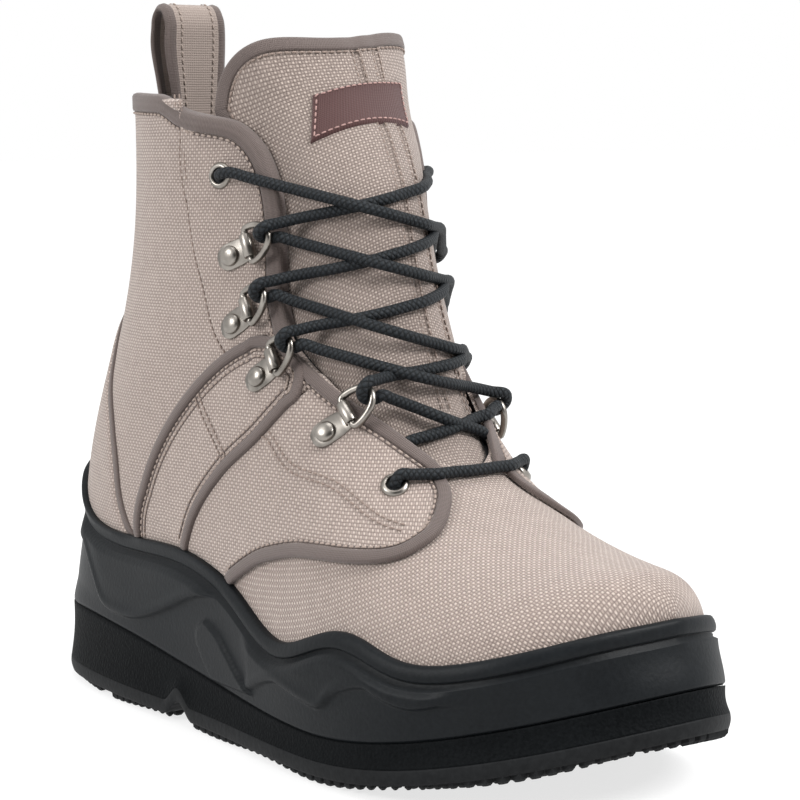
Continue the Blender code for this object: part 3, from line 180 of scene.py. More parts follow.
def spline_weights(rows, closed=False):
    """Second derivatives of the cubic spline through evenly numbered rows."""
    values = np.array(rows, dtype=float)
    count = len(values)
    matrix = np.zeros((count, count))
    target = np.zeros_like(values)
    for index in range(count):
        if not closed and index in (0, count - 1):
            matrix[index, index] = 1.0
            continue
        before = (index - 1) % count
        after = (index + 1) % count
        matrix[index, before] += 1.0
        matrix[index, index] += 4.0
        matrix[index, after] += 1.0
        target[index] = 6.0 * (values[before] - 2.0 * values[index] + values[after])
    return values, np.linalg.solve(matrix, target), closed


def spline_at(spline, places):
    """Values of the spline at places counted in rows; past the last row it goes on straight."""
    values, curve, closed = spline
    count = len(values)
    places = np.atleast_1d(np.asarray(places, float))
    if closed:
        places = places % count
        index = places.astype(int) % count
        after = (index + 1) % count
        share = places - places.astype(int)
        beyond = np.zeros_like(places)
    else:
        inside = np.clip(places, 0.0, count - 1.0)
        index = np.minimum(inside.astype(int), count - 2)
        after = index + 1
        share = inside - index
        beyond = np.maximum(places - (count - 1.0), 0.0)
    share = share[:, None]
    rest = 1.0 - share
    out = (curve[index] * rest ** 3 + curve[after] * share ** 3) / 6.0
    out = out + (values[index] - curve[index] / 6.0) * rest
    out = out + (values[after] - curve[after] / 6.0) * share
    if not closed:
        slope = values[-1] - values[-2] + curve[-2] / 6.0
        out = out + beyond[:, None] * slope[None, :]
    return out


def table_at(table, keys):
    """Smooth values of a two column table at keys, level past its ends."""
    places = np.array([row[0] for row in table], float)
    values = np.array([row[1] for row in table], float)
    slopes = np.gradient(values, places)
    keys = np.clip(np.asarray(keys, float), places[0], places[-1])
    index = np.clip(np.searchsorted(places, keys, side="right") - 1, 0, len(places) - 2)
    span = places[index + 1] - places[index]
    share = (keys - places[index]) / span
    rest = 1.0 - share
    start = values[index] * (1.0 + 2.0 * share) * rest * rest
    start = start + slopes[index] * span * share * rest * rest
    end = values[index + 1] * (3.0 - 2.0 * share) * share * share
    return start + end - slopes[index + 1] * span * share * share * rest


def floor_rise(along):
    reach = np.maximum(0.0, (np.asarray(along) - SPRING_START) / (1.0 - SPRING_START))
    return TOE_SPRING * reach * reach


def seam_height(along):
    along = np.clip(along, 0.0, 1.0)
    return floor_rise(along) + blend(BALL_STACK, HEEL_STACK, table_at(STACK, along))


def notch(along):
    reach = np.abs(np.asarray(along) - NOTCH_PLACE) * SOLE_LENGTH / (NOTCH_WIDTH / 2.0)
    return NOTCH_DEPTH * ease(1.0 - reach)


def section_rows():
    rows = []
    for section in FOOT_SECTIONS:
        part = dict(zip(FOOT_COLUMNS, section))
        rows.append((part["top_along"] * SOLE_LENGTH, part["top_height"] * INSTEP_HEIGHT,
                     part["low_along"] * SOLE_LENGTH,
                     float(seam_height(part["low_along"])) + SEAM_LIFT,
                     part["outer"] * BALL_WIDTH, part["inner"] * BALL_WIDTH,
                     part["middle"] * BALL_WIDTH, part["widest"], part["top_round"],
                     part["low_round"]))
    for section in SHAFT_SECTIONS:
        part = dict(zip(SHAFT_COLUMNS, section))
        seat = float(seam_height(part["low_along"])) + SEAM_LIFT
        rows.append((part["top_along"] * SOLE_LENGTH,
                     blend(INSTEP_HEIGHT, COLLAR_HEIGHT, part["top_rise"]),
                     part["low_along"] * SOLE_LENGTH, blend(seat, COLLAR_HEIGHT, part["low_rise"]),
                     part["outer"] * SHAFT_WIDTH, part["inner"] * SHAFT_WIDTH,
                     part["middle"] * SHAFT_WIDTH, part["widest"], part["top_round"],
                     part["low_round"]))
    return rows


LAST = spline_weights(section_rows())


def last_points(rows, turns):
    """Points of the upper's outer face, one for each row and turn."""
    rows, turns = np.broadcast_arrays(np.asarray(rows, float), np.asarray(turns, float))
    shape = rows.shape
    values = spline_at(LAST, rows.ravel())
    (top_along, top_height, low_along, low_height, outer, inner, middle, widest,
     top_round, low_round) = values.T
    angle = 2.0 * math.pi * turns.ravel()
    sine = np.sin(angle)
    cosine = -np.cos(angle)
    power = 2.0 / np.where(cosine >= 0.0, top_round, low_round)
    across = np.abs(sine) ** power
    rise = np.copysign(np.abs(cosine) ** power, cosine)
    height = np.where(cosine >= 0.0, widest + (1.0 - widest) * rise, widest + widest * rise)
    half = np.where(sine >= 0.0, -outer, inner)
    points = np.stack([middle + half * across,
                       HEEL_REST - blend(low_along, top_along, height),
                       blend(low_height, top_height, height)], axis=1)
    return points.reshape(shape + (3,))


def unit(vectors):
    return vectors / np.maximum(np.linalg.norm(vectors, axis=-1, keepdims=True), 1e-12)


def last_normals(rows, turns):
    rows, turns = np.broadcast_arrays(np.asarray(rows, float), np.asarray(turns, float))
    back = np.maximum(rows - 0.04, 0.02)
    along = last_points(back + 0.08, turns) - last_points(back, turns)
    held = np.maximum(rows, 0.05)
    step = 0.002
    around = last_points(held, turns + step) - last_points(held, turns - step)
    return unit(np.cross(around, along))


def skin(rows, turns, lift=0.0):
    """Points lifted off the upper's outer face."""
    rows, turns = np.broadcast_arrays(np.asarray(rows, float), np.asarray(turns, float))
    points = last_points(rows, turns)
    normals = last_normals(rows, turns)
    return points + normals * np.asarray(lift, float)[..., None]


def throat_gap(rows):
    rows = np.asarray(rows, float)
    return np.where(rows <= THROAT_ROW, 0.0, table_at(THROAT, rows))


def collar_row(turns):
    return 19.95 - 1.35 * ((1.0 - np.cos(2.0 * math.pi * np.asarray(turns))) / 2.0) ** 2


def collared(rows, turns):
    start = 17.0
    rows = np.asarray(rows, float)
    share = np.clip((rows - start) / (LAST_ROW - start), 0.0, None)
    return np.where(rows <= start, rows, blend(start, collar_row(turns), share))


ARC_ROWS = np.arange(0.0, 24.01, 0.25)
ARC_TURNS = np.linspace(0.0, 1.0, 201)


def arc_tables():
    grid = last_points(ARC_ROWS[:, None], ARC_TURNS[None, :])
    round_steps = np.linalg.norm(np.diff(grid, axis=1), axis=-1)
    around = np.concatenate([np.zeros((len(ARC_ROWS), 1)), np.cumsum(round_steps, axis=1)], axis=1)
    around = around - around[:, 100:101]
    ridge = run_of(grid[:, 100])
    flat_steps = np.linalg.norm(np.diff(grid[..., :2], axis=1), axis=-1)
    flat = np.concatenate([np.zeros((len(ARC_ROWS), 1)), np.cumsum(flat_steps, axis=1)], axis=1)
    flat = np.abs(flat - flat[:, 100:101]) + grid[:, 100:101, 1]
    return around, np.repeat(ridge[:, None], 201, axis=1), flat, grid[..., 2]


VAMP_UV = arc_tables()[:2]
WALL_UV = arc_tables()[2:]
WALL_START = 10.8


def cloth_uv(rows, turns, tables=None):
    """Distances across and along the cloth, in metres: round the foot, or level along the walls."""
    if tables is None:
        wall = np.asarray(rows, float) > WALL_START
        wall, _ = np.broadcast_arrays(wall, np.asarray(turns, float))
        return np.where(wall[..., None], cloth_uv(rows, turns, WALL_UV), cloth_uv(rows, turns, VAMP_UV))
    rows, turns = np.broadcast_arrays(np.asarray(rows, float), np.asarray(turns, float) % 1.0)
    row = np.clip(rows / 0.25, 0.0, len(ARC_ROWS) - 1.001)
    turn = np.clip(turns * 200.0, 0.0, 199.999)
    low = row.astype(int)
    left = turn.astype(int)
    up = row - low
    side = turn - left
    out = []
    for table in tables:
        below = blend(table[low, left], table[low, left + 1], side)
        above = blend(table[low + 1, left], table[low + 1, left + 1], side)
        out.append(blend(below, above, up))
    return np.stack(out, axis=-1)


def plan_points():
    outer = [(-row[1] * BALL_WIDTH, HEEL_REST - row[0] * SOLE_LENGTH) for row in OUTLINE]
    inner = [(row[3] * BALL_WIDTH, HEEL_REST - row[2] * SOLE_LENGTH) for row in OUTLINE]
    return outer + inner[-2:0:-1]


PLAN = spline_weights(plan_points(), closed=True)
RAND_EDGE = spline_weights([row[4:5] for row in OUTLINE])


def outline_at(places):
    """Sole outline at places from 0 (heel) by 0.25 (outer) to 0.5 (toe): points, normals, rows."""
    places = np.asarray(places, float)
    count = len(OUTLINE) - 1
    points = spline_at(PLAN, places * 2 * count)
    way = spline_at(PLAN, places * 2 * count + 0.05) - spline_at(PLAN, places * 2 * count - 0.05)
    way = unit(way)
    normals = np.stack([way[:, 1], -way[:, 0]], axis=1)
    return points, normals, count * (1.0 - np.abs(1.0 - 2.0 * (places % 1.0)))


def station(points):
    return (HEEL_REST - points[..., 1]) / SOLE_LENGTH


# Materials
def new_material(name):
    material = bpy.data.materials.new(name)
    material.use_nodes = True
    tree = material.node_tree
    return material, tree, tree.nodes["Principled BSDF"]


def link(tree, start, end):
    tree.links.new(start, end)


def maths(tree, operation, first, second=None):
    node = tree.nodes.new("ShaderNodeMath")
    node.operation = operation
    for index, value in enumerate((first, second)):
        if value is None:
            continue
        if isinstance(value, (int, float)):
            node.inputs[index].default_value = value
        else:
            link(tree, value, node.inputs[index])
    return node.outputs[0]


def mixed(tree, *parts):
    """Sum of values, each times its own weight."""
    total = None
    for value, weight in parts:
        part = maths(tree, "MULTIPLY", value, weight)
        total = part if total is None else maths(tree, "ADD", total, part)
    return total


def noise(tree, vector, scale, detail):
    node = tree.nodes.new("ShaderNodeTexNoise")
    node.inputs["Scale"].default_value = scale
    node.inputs["Detail"].default_value = detail
    link(tree, vector, node.inputs["Vector"])
    return node.outputs["Fac"]


def ramp(tree, value, low, high, low_colour, high_colour):
    node = tree.nodes.new("ShaderNodeValToRGB")
    node.color_ramp.elements[0].position = low
    node.color_ramp.elements[0].color = (*low_colour, 1.0)
    node.color_ramp.elements[1].position = high
    node.color_ramp.elements[1].color = (*high_colour, 1.0)
    link(tree, value, node.inputs["Fac"])
    return node.outputs["Color"]


def bump(tree, height, strength, distance):
    node = tree.nodes.new("ShaderNodeBump")
    node.inputs["Strength"].default_value = strength
    node.inputs["Distance"].default_value = distance
    link(tree, height, node.inputs["Height"])
    return node.outputs["Normal"]


def place_of(tree):
    return tree.nodes.new("ShaderNodeTexCoord").outputs["Object"]


def woven(name, dark, light):
    """Plain weave: threads that pass over and under in turn, each a small dome."""
    material, tree, shader = new_material(name)
    uv = tree.nodes.new("ShaderNodeUVMap").outputs["UV"]
    spot = place_of(tree)
    warp = tree.nodes.new("ShaderNodeVectorMath")
    warp.operation = "MULTIPLY_ADD"
    wobble = tree.nodes.new("ShaderNodeTexNoise")
    wobble.inputs["Scale"].default_value = 90.0
    wobble.inputs["Detail"].default_value = 2.0
    link(tree, uv, wobble.inputs["Vector"])
    link(tree, wobble.outputs["Color"], warp.inputs[0])
    warp.inputs[1].default_value = (0.0007, 0.0007, 0.0)
    link(tree, uv, warp.inputs[2])
    split = tree.nodes.new("ShaderNodeSeparateXYZ")
    link(tree, warp.outputs[0], split.inputs[0])
    domes = []
    cells = []
    for axis in ("X", "Y"):
        counted = maths(tree, "DIVIDE", split.outputs[axis], WEAVE_PITCH)
        inside = maths(tree, "FRACT", counted)
        domes.append(maths(tree, "SINE", maths(tree, "MULTIPLY", inside, math.pi)))
        cells.append(maths(tree, "FLOOR", counted))
    odd = maths(tree, "PINGPONG", maths(tree, "ADD", cells[0], cells[1]), 1.0)
    threads = []
    for powers, shown in (((0.7, 0.8), odd), ((0.8, 0.7), maths(tree, "SUBTRACT", 1.0, odd))):
        dome = maths(tree, "MULTIPLY", maths(tree, "POWER", domes[0], powers[0]),
                     maths(tree, "POWER", domes[1], powers[1]))
        threads.append(maths(tree, "MULTIPLY", dome, shown))
    over, under = threads
    height = mixed(tree, (over, 1.0), (under, 0.45))
    grain = noise(tree, uv, 1500.0, 2.0)
    slub = noise(tree, spot, 240.0, 3.0)
    cloudy = noise(tree, spot, 14.0, 3.0)
    # The colour follows the threads' height: darker down each thread's sides, in the gaps and on the lower
    # threads, as painted shade; the grain, slubs and clouds are random tone.
    shade = mixed(tree, (height, 0.62), (grain, 0.22), (slub, 0.16), (cloudy, 0.10))
    colour = ramp(tree, shade, 0.20, 0.86, dark, light)
    link(tree, colour, shader.inputs["Base Color"])
    raised = mixed(tree, (height, 1.0), (grain, 0.35))
    link(tree, bump(tree, raised, 0.8, WEAVE_DEPTH), shader.inputs["Normal"])
    shader.inputs["Roughness"].default_value = 0.82
    shader.inputs["Specular IOR Level"].default_value = 0.3
    shader.inputs["Sheen Weight"].default_value = 0.25
    shader.inputs["Sheen Roughness"].default_value = 0.5
    return material


def ribbed(name, dark, light, pitch, across):
    """Tape of fine ribs across its length, from its own UV."""
    material, tree, shader = new_material(name)
    uv = tree.nodes.new("ShaderNodeUVMap").outputs["UV"]
    split = tree.nodes.new("ShaderNodeSeparateXYZ")
    link(tree, uv, split.inputs[0])
    ribs = maths(tree, "SINE", maths(tree, "MULTIPLY", split.outputs["X"], 2.0 * math.pi / pitch))
    cross = maths(tree, "SINE", maths(tree, "MULTIPLY", split.outputs["Y"], 2.0 * math.pi / across))
    height = mixed(tree, (ribs, 0.5), (cross, 0.3))
    grain = noise(tree, uv, 2600.0, 2.0)
    cloudy = noise(tree, place_of(tree), 30.0, 3.0)
    # The colour darkens in the troughs between ribs as painted shade; the grain and clouds are random tone.
    shade = mixed(tree, (height, 0.16), (grain, 0.5), (cloudy, 0.35))
    link(tree, ramp(tree, shade, 0.2, 0.75, dark, light), shader.inputs["Base Color"])
    link(tree, bump(tree, maths(tree, "ADD", height, grain), 0.5, 0.00018), shader.inputs["Normal"])
    shader.inputs["Roughness"].default_value = 0.75
    shader.inputs["Sheen Weight"].default_value = 0.2
    return material


def rubbery(name, dark, light, roughness, grain_scale, grain_depth, speckle=0.0):
    material, tree, shader = new_material(name)
    spot = place_of(tree)
    cloudy = noise(tree, spot, 22.0, 4.0)
    fine = noise(tree, spot, grain_scale, 3.0)
    shade = mixed(tree, (cloudy, 0.55), (fine, 0.45))
    link(tree, ramp(tree, shade, 0.32, 0.72, dark, light), shader.inputs["Base Color"])
    level = maths(tree, "ADD", maths(tree, "MULTIPLY", cloudy, 0.16), roughness - 0.08)
    link(tree, level, shader.inputs["Roughness"])
    height = fine
    if speckle:
        cells = tree.nodes.new("ShaderNodeTexVoronoi")
        cells.inputs["Scale"].default_value = 900.0
        link(tree, spot, cells.inputs["Vector"])
        height = mixed(tree, (fine, 1.0), (cells.outputs["Distance"], speckle))
    link(tree, bump(tree, height, 0.5, grain_depth), shader.inputs["Normal"])
    shader.inputs["Specular IOR Level"].default_value = 0.10 - 0.07 * speckle
    return material


def braided(name, dark, light, pitch, girth):
    """Braided cord: two sets of slanting strands, from the cord's own UV."""
    material, tree, shader = new_material(name)
    uv = tree.nodes.new("ShaderNodeUVMap").outputs["UV"]
    split = tree.nodes.new("ShaderNodeSeparateXYZ")
    link(tree, uv, split.inputs[0])
    length = maths(tree, "MULTIPLY", split.outputs["X"], math.pi / pitch)
    round_way = maths(tree, "MULTIPLY", split.outputs["Y"], math.pi * girth)
    first = maths(tree, "ABSOLUTE", maths(tree, "SINE", maths(tree, "ADD", length, round_way)))
    second = maths(tree, "ABSOLUTE", maths(tree, "SINE", maths(tree, "SUBTRACT", length, round_way)))
    height = maths(tree, "MULTIPLY", maths(tree, "POWER", first, 0.6), maths(tree, "POWER", second, 0.6))
    grain = noise(tree, place_of(tree), 1600.0, 2.0)
    # The colour follows the strands' height, darker in the grooves between strands: painted shade; the
    # grain is random tone.
    shade = mixed(tree, (height, 0.7), (grain, 0.35))
    link(tree, ramp(tree, shade, 0.2, 0.95, dark, light), shader.inputs["Base Color"])
    link(tree, bump(tree, height, 0.9, 0.0005), shader.inputs["Normal"])
    shader.inputs["Roughness"].default_value = 0.62
    shader.inputs["Specular IOR Level"].default_value = 0.25
    return material


def plated(name, colour, worn, roughness):
    material, tree, shader = new_material(name)
    spot = place_of(tree)
    cloudy = noise(tree, spot, 160.0, 4.0)
    link(tree, ramp(tree, cloudy, 0.3, 0.7, worn, colour), shader.inputs["Base Color"])
    level = maths(tree, "ADD", maths(tree, "MULTIPLY", cloudy, 0.22), roughness)
    link(tree, level, shader.inputs["Roughness"])
    link(tree, bump(tree, noise(tree, spot, 1800.0, 2.0), 0.15, 0.0001), shader.inputs["Normal"])
    shader.inputs["Metallic"].default_value = 1.0
    return material


def plain(name, colour, roughness=0.9):
    material, tree, shader = new_material(name)
    spot = place_of(tree)
    fine = noise(tree, spot, 900.0, 2.0)
    low = tuple(0.8 * part for part in colour)
    link(tree, ramp(tree, fine, 0.3, 0.7, low, colour), shader.inputs["Base Color"])
    link(tree, bump(tree, fine, 0.3, 0.0002), shader.inputs["Normal"])
    shader.inputs["Roughness"].default_value = roughness
    return material


CLOTH = woven("boot_cloth", (0.165, 0.125, 0.109), (0.520, 0.434, 0.384))
# The tongue's cloth is the boot cloth with darker colours: painted shade over the whole tongue.
TONGUE_CLOTH_PAINTED_SHADE = woven("tongue_cloth_painted_shade", (0.125, 0.094, 0.081), (0.440, 0.363, 0.320))
TAPE = ribbed("edge_tape", (0.070, 0.050, 0.044), (0.125, 0.094, 0.084), 0.0006, 0.0007)
WEBBING = ribbed("pull_webbing", (0.210, 0.165, 0.142), (0.330, 0.270, 0.236), 0.0009, 0.0010)
RUBBER = rubbery("rand_rubber", (0.0050, 0.0060, 0.0070), (0.0105, 0.0122, 0.0138), 0.46, 700.0, 0.00022)
FOAM = rubbery("sole_foam", (0.0016, 0.0020, 0.0024), (0.0070, 0.0080, 0.0088), 0.62, 900.0, 0.00045, 0.9)
TREAD = rubbery("tread_rubber", (0.0050, 0.0054, 0.0060), (0.0150, 0.0160, 0.0170), 0.62, 500.0, 0.0004)
CORD = braided("lace_cord", (0.0015, 0.0022, 0.0030), (0.0150, 0.0190, 0.0230), 0.0019, 4.0)
NICKEL = plated("nickel", (0.34, 0.315, 0.285), (0.18, 0.165, 0.148), 0.20)
LINING = plain("lining", (0.045, 0.045, 0.050))
PATCH = ribbed("patch_cloth", (0.035, 0.008, 0.007), (0.066, 0.017, 0.015), 0.0010, 0.0008)
PALE_THREAD = plain("pale_thread", (0.36, 0.22, 0.20), 0.7)
SEAM_THREAD = plain("seam_thread", (0.250, 0.190, 0.160), 0.75)
DARK_THREAD = plain("tape_thread", (0.330, 0.262, 0.225), 0.75)
# Near-black for the disc inside each eyelet: painted shade of the hole.
PAINTED_HOLE_SHADE = plain("eyelet_painted_shade", (0.010, 0.010, 0.011))


# Mesh helpers
def add_mesh(name, points, faces, material, uv=None, smooth=True):
    mesh = bpy.data.meshes.new(name)
    mesh.from_pydata([tuple(point) for point in points], [], faces)
    mesh.materials.append(material)
    if uv is not None:
        layer = mesh.uv_layers.new(name="UVMap")
        order = np.empty(len(mesh.loops), dtype=np.int32)
        mesh.loops.foreach_get("vertex_index", order)
        layer.data.foreach_set("uv", np.asarray(uv, np.float32)[order].ravel())
    if smooth:
        mesh.polygons.foreach_set("use_smooth", np.ones(len(mesh.polygons), dtype=bool))
    mesh.update()
    item = bpy.data.objects.new(name, mesh)
    bpy.context.scene.collection.objects.link(item)
    return item


def finish_piece(item, slot, *nodes):
    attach(item, BODY)
    if nodes:
        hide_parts(*nodes)
    return item


def grid_faces(rows, columns, closed=False):
    faces = []
    reach = columns if closed else columns - 1
    for row in range(rows - 1):
        for column in range(reach):
            after = (column + 1) % columns
            faces.append((row * columns + column, row * columns + after,
                          (row + 1) * columns + after, (row + 1) * columns + column))
    return faces


def weld(item):
    shape = bmesh.new()
    shape.from_mesh(item.data)
    bmesh.ops.remove_doubles(shape, verts=shape.verts, dist=1e-5)
    bmesh.ops.recalc_face_normals(shape, faces=shape.faces)
    shape.to_mesh(item.data)
    shape.free()


def turn_faces_out(item):
    shape = bmesh.new()
    shape.from_mesh(item.data)
    bmesh.ops.recalc_face_normals(shape, faces=shape.faces)
    shape.to_mesh(item.data)
    shape.free()


def face_towards(item, way):
    """Reverses an open sheet's faces if the middle one looks away from way."""
    shape = bmesh.new()
    shape.from_mesh(item.data)
    shape.faces.ensure_lookup_table()
    if shape.faces[len(shape.faces) // 2].normal.dot(Vector(way)) < 0.0:
        bmesh.ops.reverse_faces(shape, faces=shape.faces[:])
        shape.to_mesh(item.data)
    shape.free()


def hoop_faces(places, levels):
    """Faces of a wall of levels that goes once round."""
    faces = []
    for place in range(places):
        after = (place + 1) % places
        for level in range(levels - 1):
            faces.append((place * levels + level, after * levels + level,
                          after * levels + level + 1, place * levels + level + 1))
    return faces


class Heap:
    """Meshes gathered into one object."""

    def __init__(self):
        self.points = []
        self.faces = []
        self.uv = []
        self.count = 0

    def add(self, points, faces, uv=None):
        points = np.asarray(points, float).reshape(-1, 3)
        self.points.append(points)
        self.uv.append(np.zeros((len(points), 2)) if uv is None else np.asarray(uv, float))
        self.faces += [tuple(self.count + index for index in face) for face in faces]
        self.count += len(points)

    def make(self, name, material, smooth=True):
        return add_mesh(name, np.concatenate(self.points), self.faces, material,
                        np.concatenate(self.uv), smooth=smooth)


def even_path(rows, turns, spacing):
    """Rows and turns at even distances along a path on the upper."""
    rows = np.asarray(rows, float)
    turns = np.asarray(turns, float)
    count = len(rows)
    spline = spline_weights(np.stack([rows, turns], axis=1))
    dense = spline_at(spline, np.linspace(0.0, count - 1.0, 40 * count))
    points = last_points(dense[:, 0], dense[:, 1])
    run = run_of(points)
    total = max(2, int(round(run[-1] / spacing)) + 1)
    wanted = np.linspace(0.0, run[-1], total)
    return np.interp(wanted, run, dense[:, 0]), np.interp(wanted, run, dense[:, 1])


def path_frames(points, normals):
    ways = unit(np.gradient(points, axis=0))
    across = unit(np.cross(normals, ways))
    return ways, across, np.cross(ways, across)


RIBBON_SECTION = ((-0.5, -0.9), (-0.5, 0.25), (-0.44, 0.75), (-0.3, 0.97), (0.0, 1.0), (0.3, 0.97),
                  (0.44, 0.75), (0.5, 0.25), (0.5, -0.9))


def ribbon(heap, points, normals, width, height, offset=0.0):
    """A strip laid along points; offset moves it sideways, height is its rise."""
    _, across, up = path_frames(points, normals)
    run = run_of(points)
    grid = []
    uv = []
    for side, rise in RIBBON_SECTION:
        grid.append(points + across * (offset + side * width) + up * (rise * height))
        uv.append(np.stack([run, np.full(len(run), side * width)], axis=1))
    grid = np.stack(grid, axis=1)
    uv = np.stack(uv, axis=1)
    count = len(RIBBON_SECTION)
    faces = grid_faces(len(points), count)
    faces.append(tuple(range(count)))
    faces.append(tuple(reversed(range((len(points) - 1) * count, len(points) * count))))
    heap.add(grid.reshape(-1, 3), faces, uv.reshape(-1, 2))


STITCH_RINGS = ((-0.5, 0.35), (-0.42, 0.85), (-0.2, 1.0), (0.2, 1.0), (0.42, 0.85), (0.5, 0.35))


def stitches(heap, points, normals, offset=0.0, lift=0.0, length=STITCH_LENGTH, pitch=STITCH_PITCH,
             thread=THREAD):
    """A row of raised threads along points."""
    run = run_of(points)
    count = int(run[-1] / pitch)
    if count < 1:
        return
    ways, across, up = path_frames(points, normals)
    line = points + across * offset + up * lift
    for index in range(count):
        middle = (index + 0.5) * run[-1] / count
        at = np.array([np.interp(middle, run, line[:, axis]) for axis in range(3)])
        way = np.array([np.interp(middle, run, ways[:, axis]) for axis in range(3)])
        side = np.array([np.interp(middle, run, across[:, axis]) for axis in range(3)])
        way = way / np.linalg.norm(way)
        side = side / np.linalg.norm(side)
        rise = np.cross(way, side)
        rings = []
        for share, size in STITCH_RINGS:
            bow = (0.25 - share * share) * 1.6 * thread
            for step in range(6):
                angle = 2.0 * math.pi * step / 6.0
                rings.append(at + way * share * length + rise * bow
                             + (side * math.cos(angle) * 1.25 + rise * math.sin(angle)) * thread * size)
        faces = grid_faces(len(STITCH_RINGS), 6, closed=True)
        faces.append((5, 4, 3, 2, 1, 0))
        base = 6 * (len(STITCH_RINGS) - 1)
        faces.append(tuple(base + step for step in range(6)))
        heap.add(rings, faces)


def tube(heap, points, radius, sides):
    """Round tube with closed ends along points; its UV runs along and once round."""
    points = np.asarray(points, float)
    ways = unit(np.gradient(points, axis=0))
    side = np.cross(ways[0], (0.0, 0.0, 1.0))
    if np.linalg.norm(side) < 1e-3:
        side = np.cross(ways[0], (0.0, 1.0, 0.0))
    side = side / np.linalg.norm(side)
    run = run_of(points)
    grid = []
    uv = []
    for index, point in enumerate(points):
        side = side - ways[index] * np.dot(side, ways[index])
        side = side / np.linalg.norm(side)
        rise = np.cross(ways[index], side)
        for step in range(sides + 1):
            angle = 2.0 * math.pi * step / sides
            grid.append(point + (side * math.cos(angle) + rise * math.sin(angle)) * radius)
            uv.append((run[index], step / sides))
    faces = grid_faces(len(points), sides + 1)
    faces.append(tuple(reversed(range(sides))))
    base = (len(points) - 1) * (sides + 1)
    faces.append(tuple(base + step for step in range(sides)))
    heap.add(grid, faces, uv)


def smooth_line(points, per_span):
    points = np.asarray(points, float)
    return spline_at(spline_weights(points), np.linspace(0.0, len(points) - 1.0,
                                                         (len(points) - 1) * per_span + 1))
# Upper
def edge_gap(rows):
    """Half gap of the throat, rounded off at its foot."""
    rows = np.asarray(rows, float)
    start = THROAT_ROW - 0.03
    round_off = np.sqrt(np.clip((rows - start) / 0.45, 0.0, 1.0))
    corner = 0.060 * np.clip((rows - 18.2) / 1.8, 0.0, 1.0) ** 3
    return np.where(rows <= start, 0.0, table_at(THROAT, rows) * round_off + corner)


def foot_gap(rows):
    share = np.clip(1.0 - (np.asarray(rows, float) / HEEL_SEAT_ROW) ** 10, 0.0, None)
    return 0.085 * np.sqrt(share)


def side_turn(turns, side):
    return turns if side > 0 else 1.0 - turns


def upper_grid(side):
    steps = 64
    stops = np.concatenate([np.linspace(0.0, 7.6, 46)[:-1], np.linspace(7.6, 8.6, 16)[:-1],
                            np.linspace(8.6, LAST_ROW, 80)])
    rows = np.repeat(stops[:, None], steps + 1, axis=1)
    share = np.linspace(0.0, 1.0, steps + 1)[None, :]
    turns = blend(foot_gap(rows), 0.5 - edge_gap(rows), share)
    return collared(rows, turns), side_turn(turns, side), len(stops)


def build_upper():
    heap = Heap()
    inside = Heap()
    for side in (1, -1):
        rows, turns, count = upper_grid(side)
        for target, lift in ((heap, 0.0), (inside, -UPPER_WALL)):
            faces = grid_faces(count, rows.shape[1])
            if (side > 0) != (lift < 0.0):
                faces = [face[::-1] for face in faces]
            target.add(skin(rows, turns, lift).reshape(-1, 3), faces,
                       cloth_uv(rows, turns).reshape(-1, 2))
    outer = heap.make("cloth_upper", CLOTH)
    weld(outer)
    lining = inside.make("upper_lining", LINING)
    weld(lining)
    finish_piece(outer, "boot_cloth", "upper")
    finish_piece(lining, "lining", "upper")
    return outer


UPPER = build_upper()


def tree_from(*items):
    shape = bmesh.new()
    for item in items:
        shape.from_mesh(item.data)
    tree = BVHTree.FromBMesh(shape)
    shape.free()
    return tree


# Panels over the upper
def lip_height(rows):
    return spline_at(RAND_EDGE, rows)[:, 0] * RAND_HEIGHT


RIM_PLACES = np.linspace(0.0, 1.0, 401)
RIM_POINTS, _, RIM_ROWS = outline_at(RIM_PLACES)
RIM_HEIGHTS = lip_height(RIM_ROWS)


def lip_beside(point):
    near = int(np.argmin(np.sum((RIM_POINTS - point[:2]) ** 2, axis=1)))
    return RIM_HEIGHTS[near]


def lip_turn(row_at, start):
    """Turn at which a rail going down from start meets the rand's bead."""
    low = 0.13
    high = start
    for _ in range(16):
        middle = (low + high) / 2.0
        point = last_points(row_at(middle), middle)
        if point[2] > lip_beside(point) - 0.001:
            high = middle
        else:
            low = middle
    return high


def value_at(table, key):
    return float(table_at(table, [key])[0])


STRAP_LOW = [(part[0], part[1]) for part in STRAP]
STRAP_HIGH = [(part[0], part[2]) for part in STRAP]


def strap_row(turn, across):
    return blend(value_at(STRAP_LOW, turn), value_at(STRAP_HIGH, turn), across)


def edge_at(row):
    return 0.5 - float(edge_gap(row))


def edge_turn(row_at):
    low = 0.30
    high = 0.497
    for _ in range(18):
        middle = (low + high) / 2.0
        if middle > edge_at(row_at(middle)):
            high = middle
        else:
            low = middle
    return low


def strap_spot(across, along):
    def row_at(turn):
        return strap_row(turn, across)
    front = edge_turn(row_at)
    turn = blend(lip_turn(row_at, front), front, along)
    return row_at(turn), turn


def quarter_top(turn):
    low = 7.0
    high = 12.0
    for _ in range(18):
        middle = (low + high) / 2.0
        if turn > edge_at(middle):
            high = middle
        else:
            low = middle
    return min(strap_row(turn, 0.0), low)


def quarter_spot(across, along):
    def row_at(turn):
        return blend(value_at(QUARTER_FOOT, turn), quarter_top(turn), across)
    front = QUARTER_FOOT[-1][0]
    turn = blend(lip_turn(row_at, front), front, along)
    return row_at(turn), turn


def facing_spot(across, along):
    low = 12.8
    for _ in range(4):
        turn = blend(value_at(SIDE_SEAM, low), edge_at(low), across)
        low = strap_row(turn, 1.0)
    row = blend(low, LAST_ROW, along)
    turn = blend(value_at(SIDE_SEAM, row), edge_at(row), across)
    return float(collared(row, turn)), turn


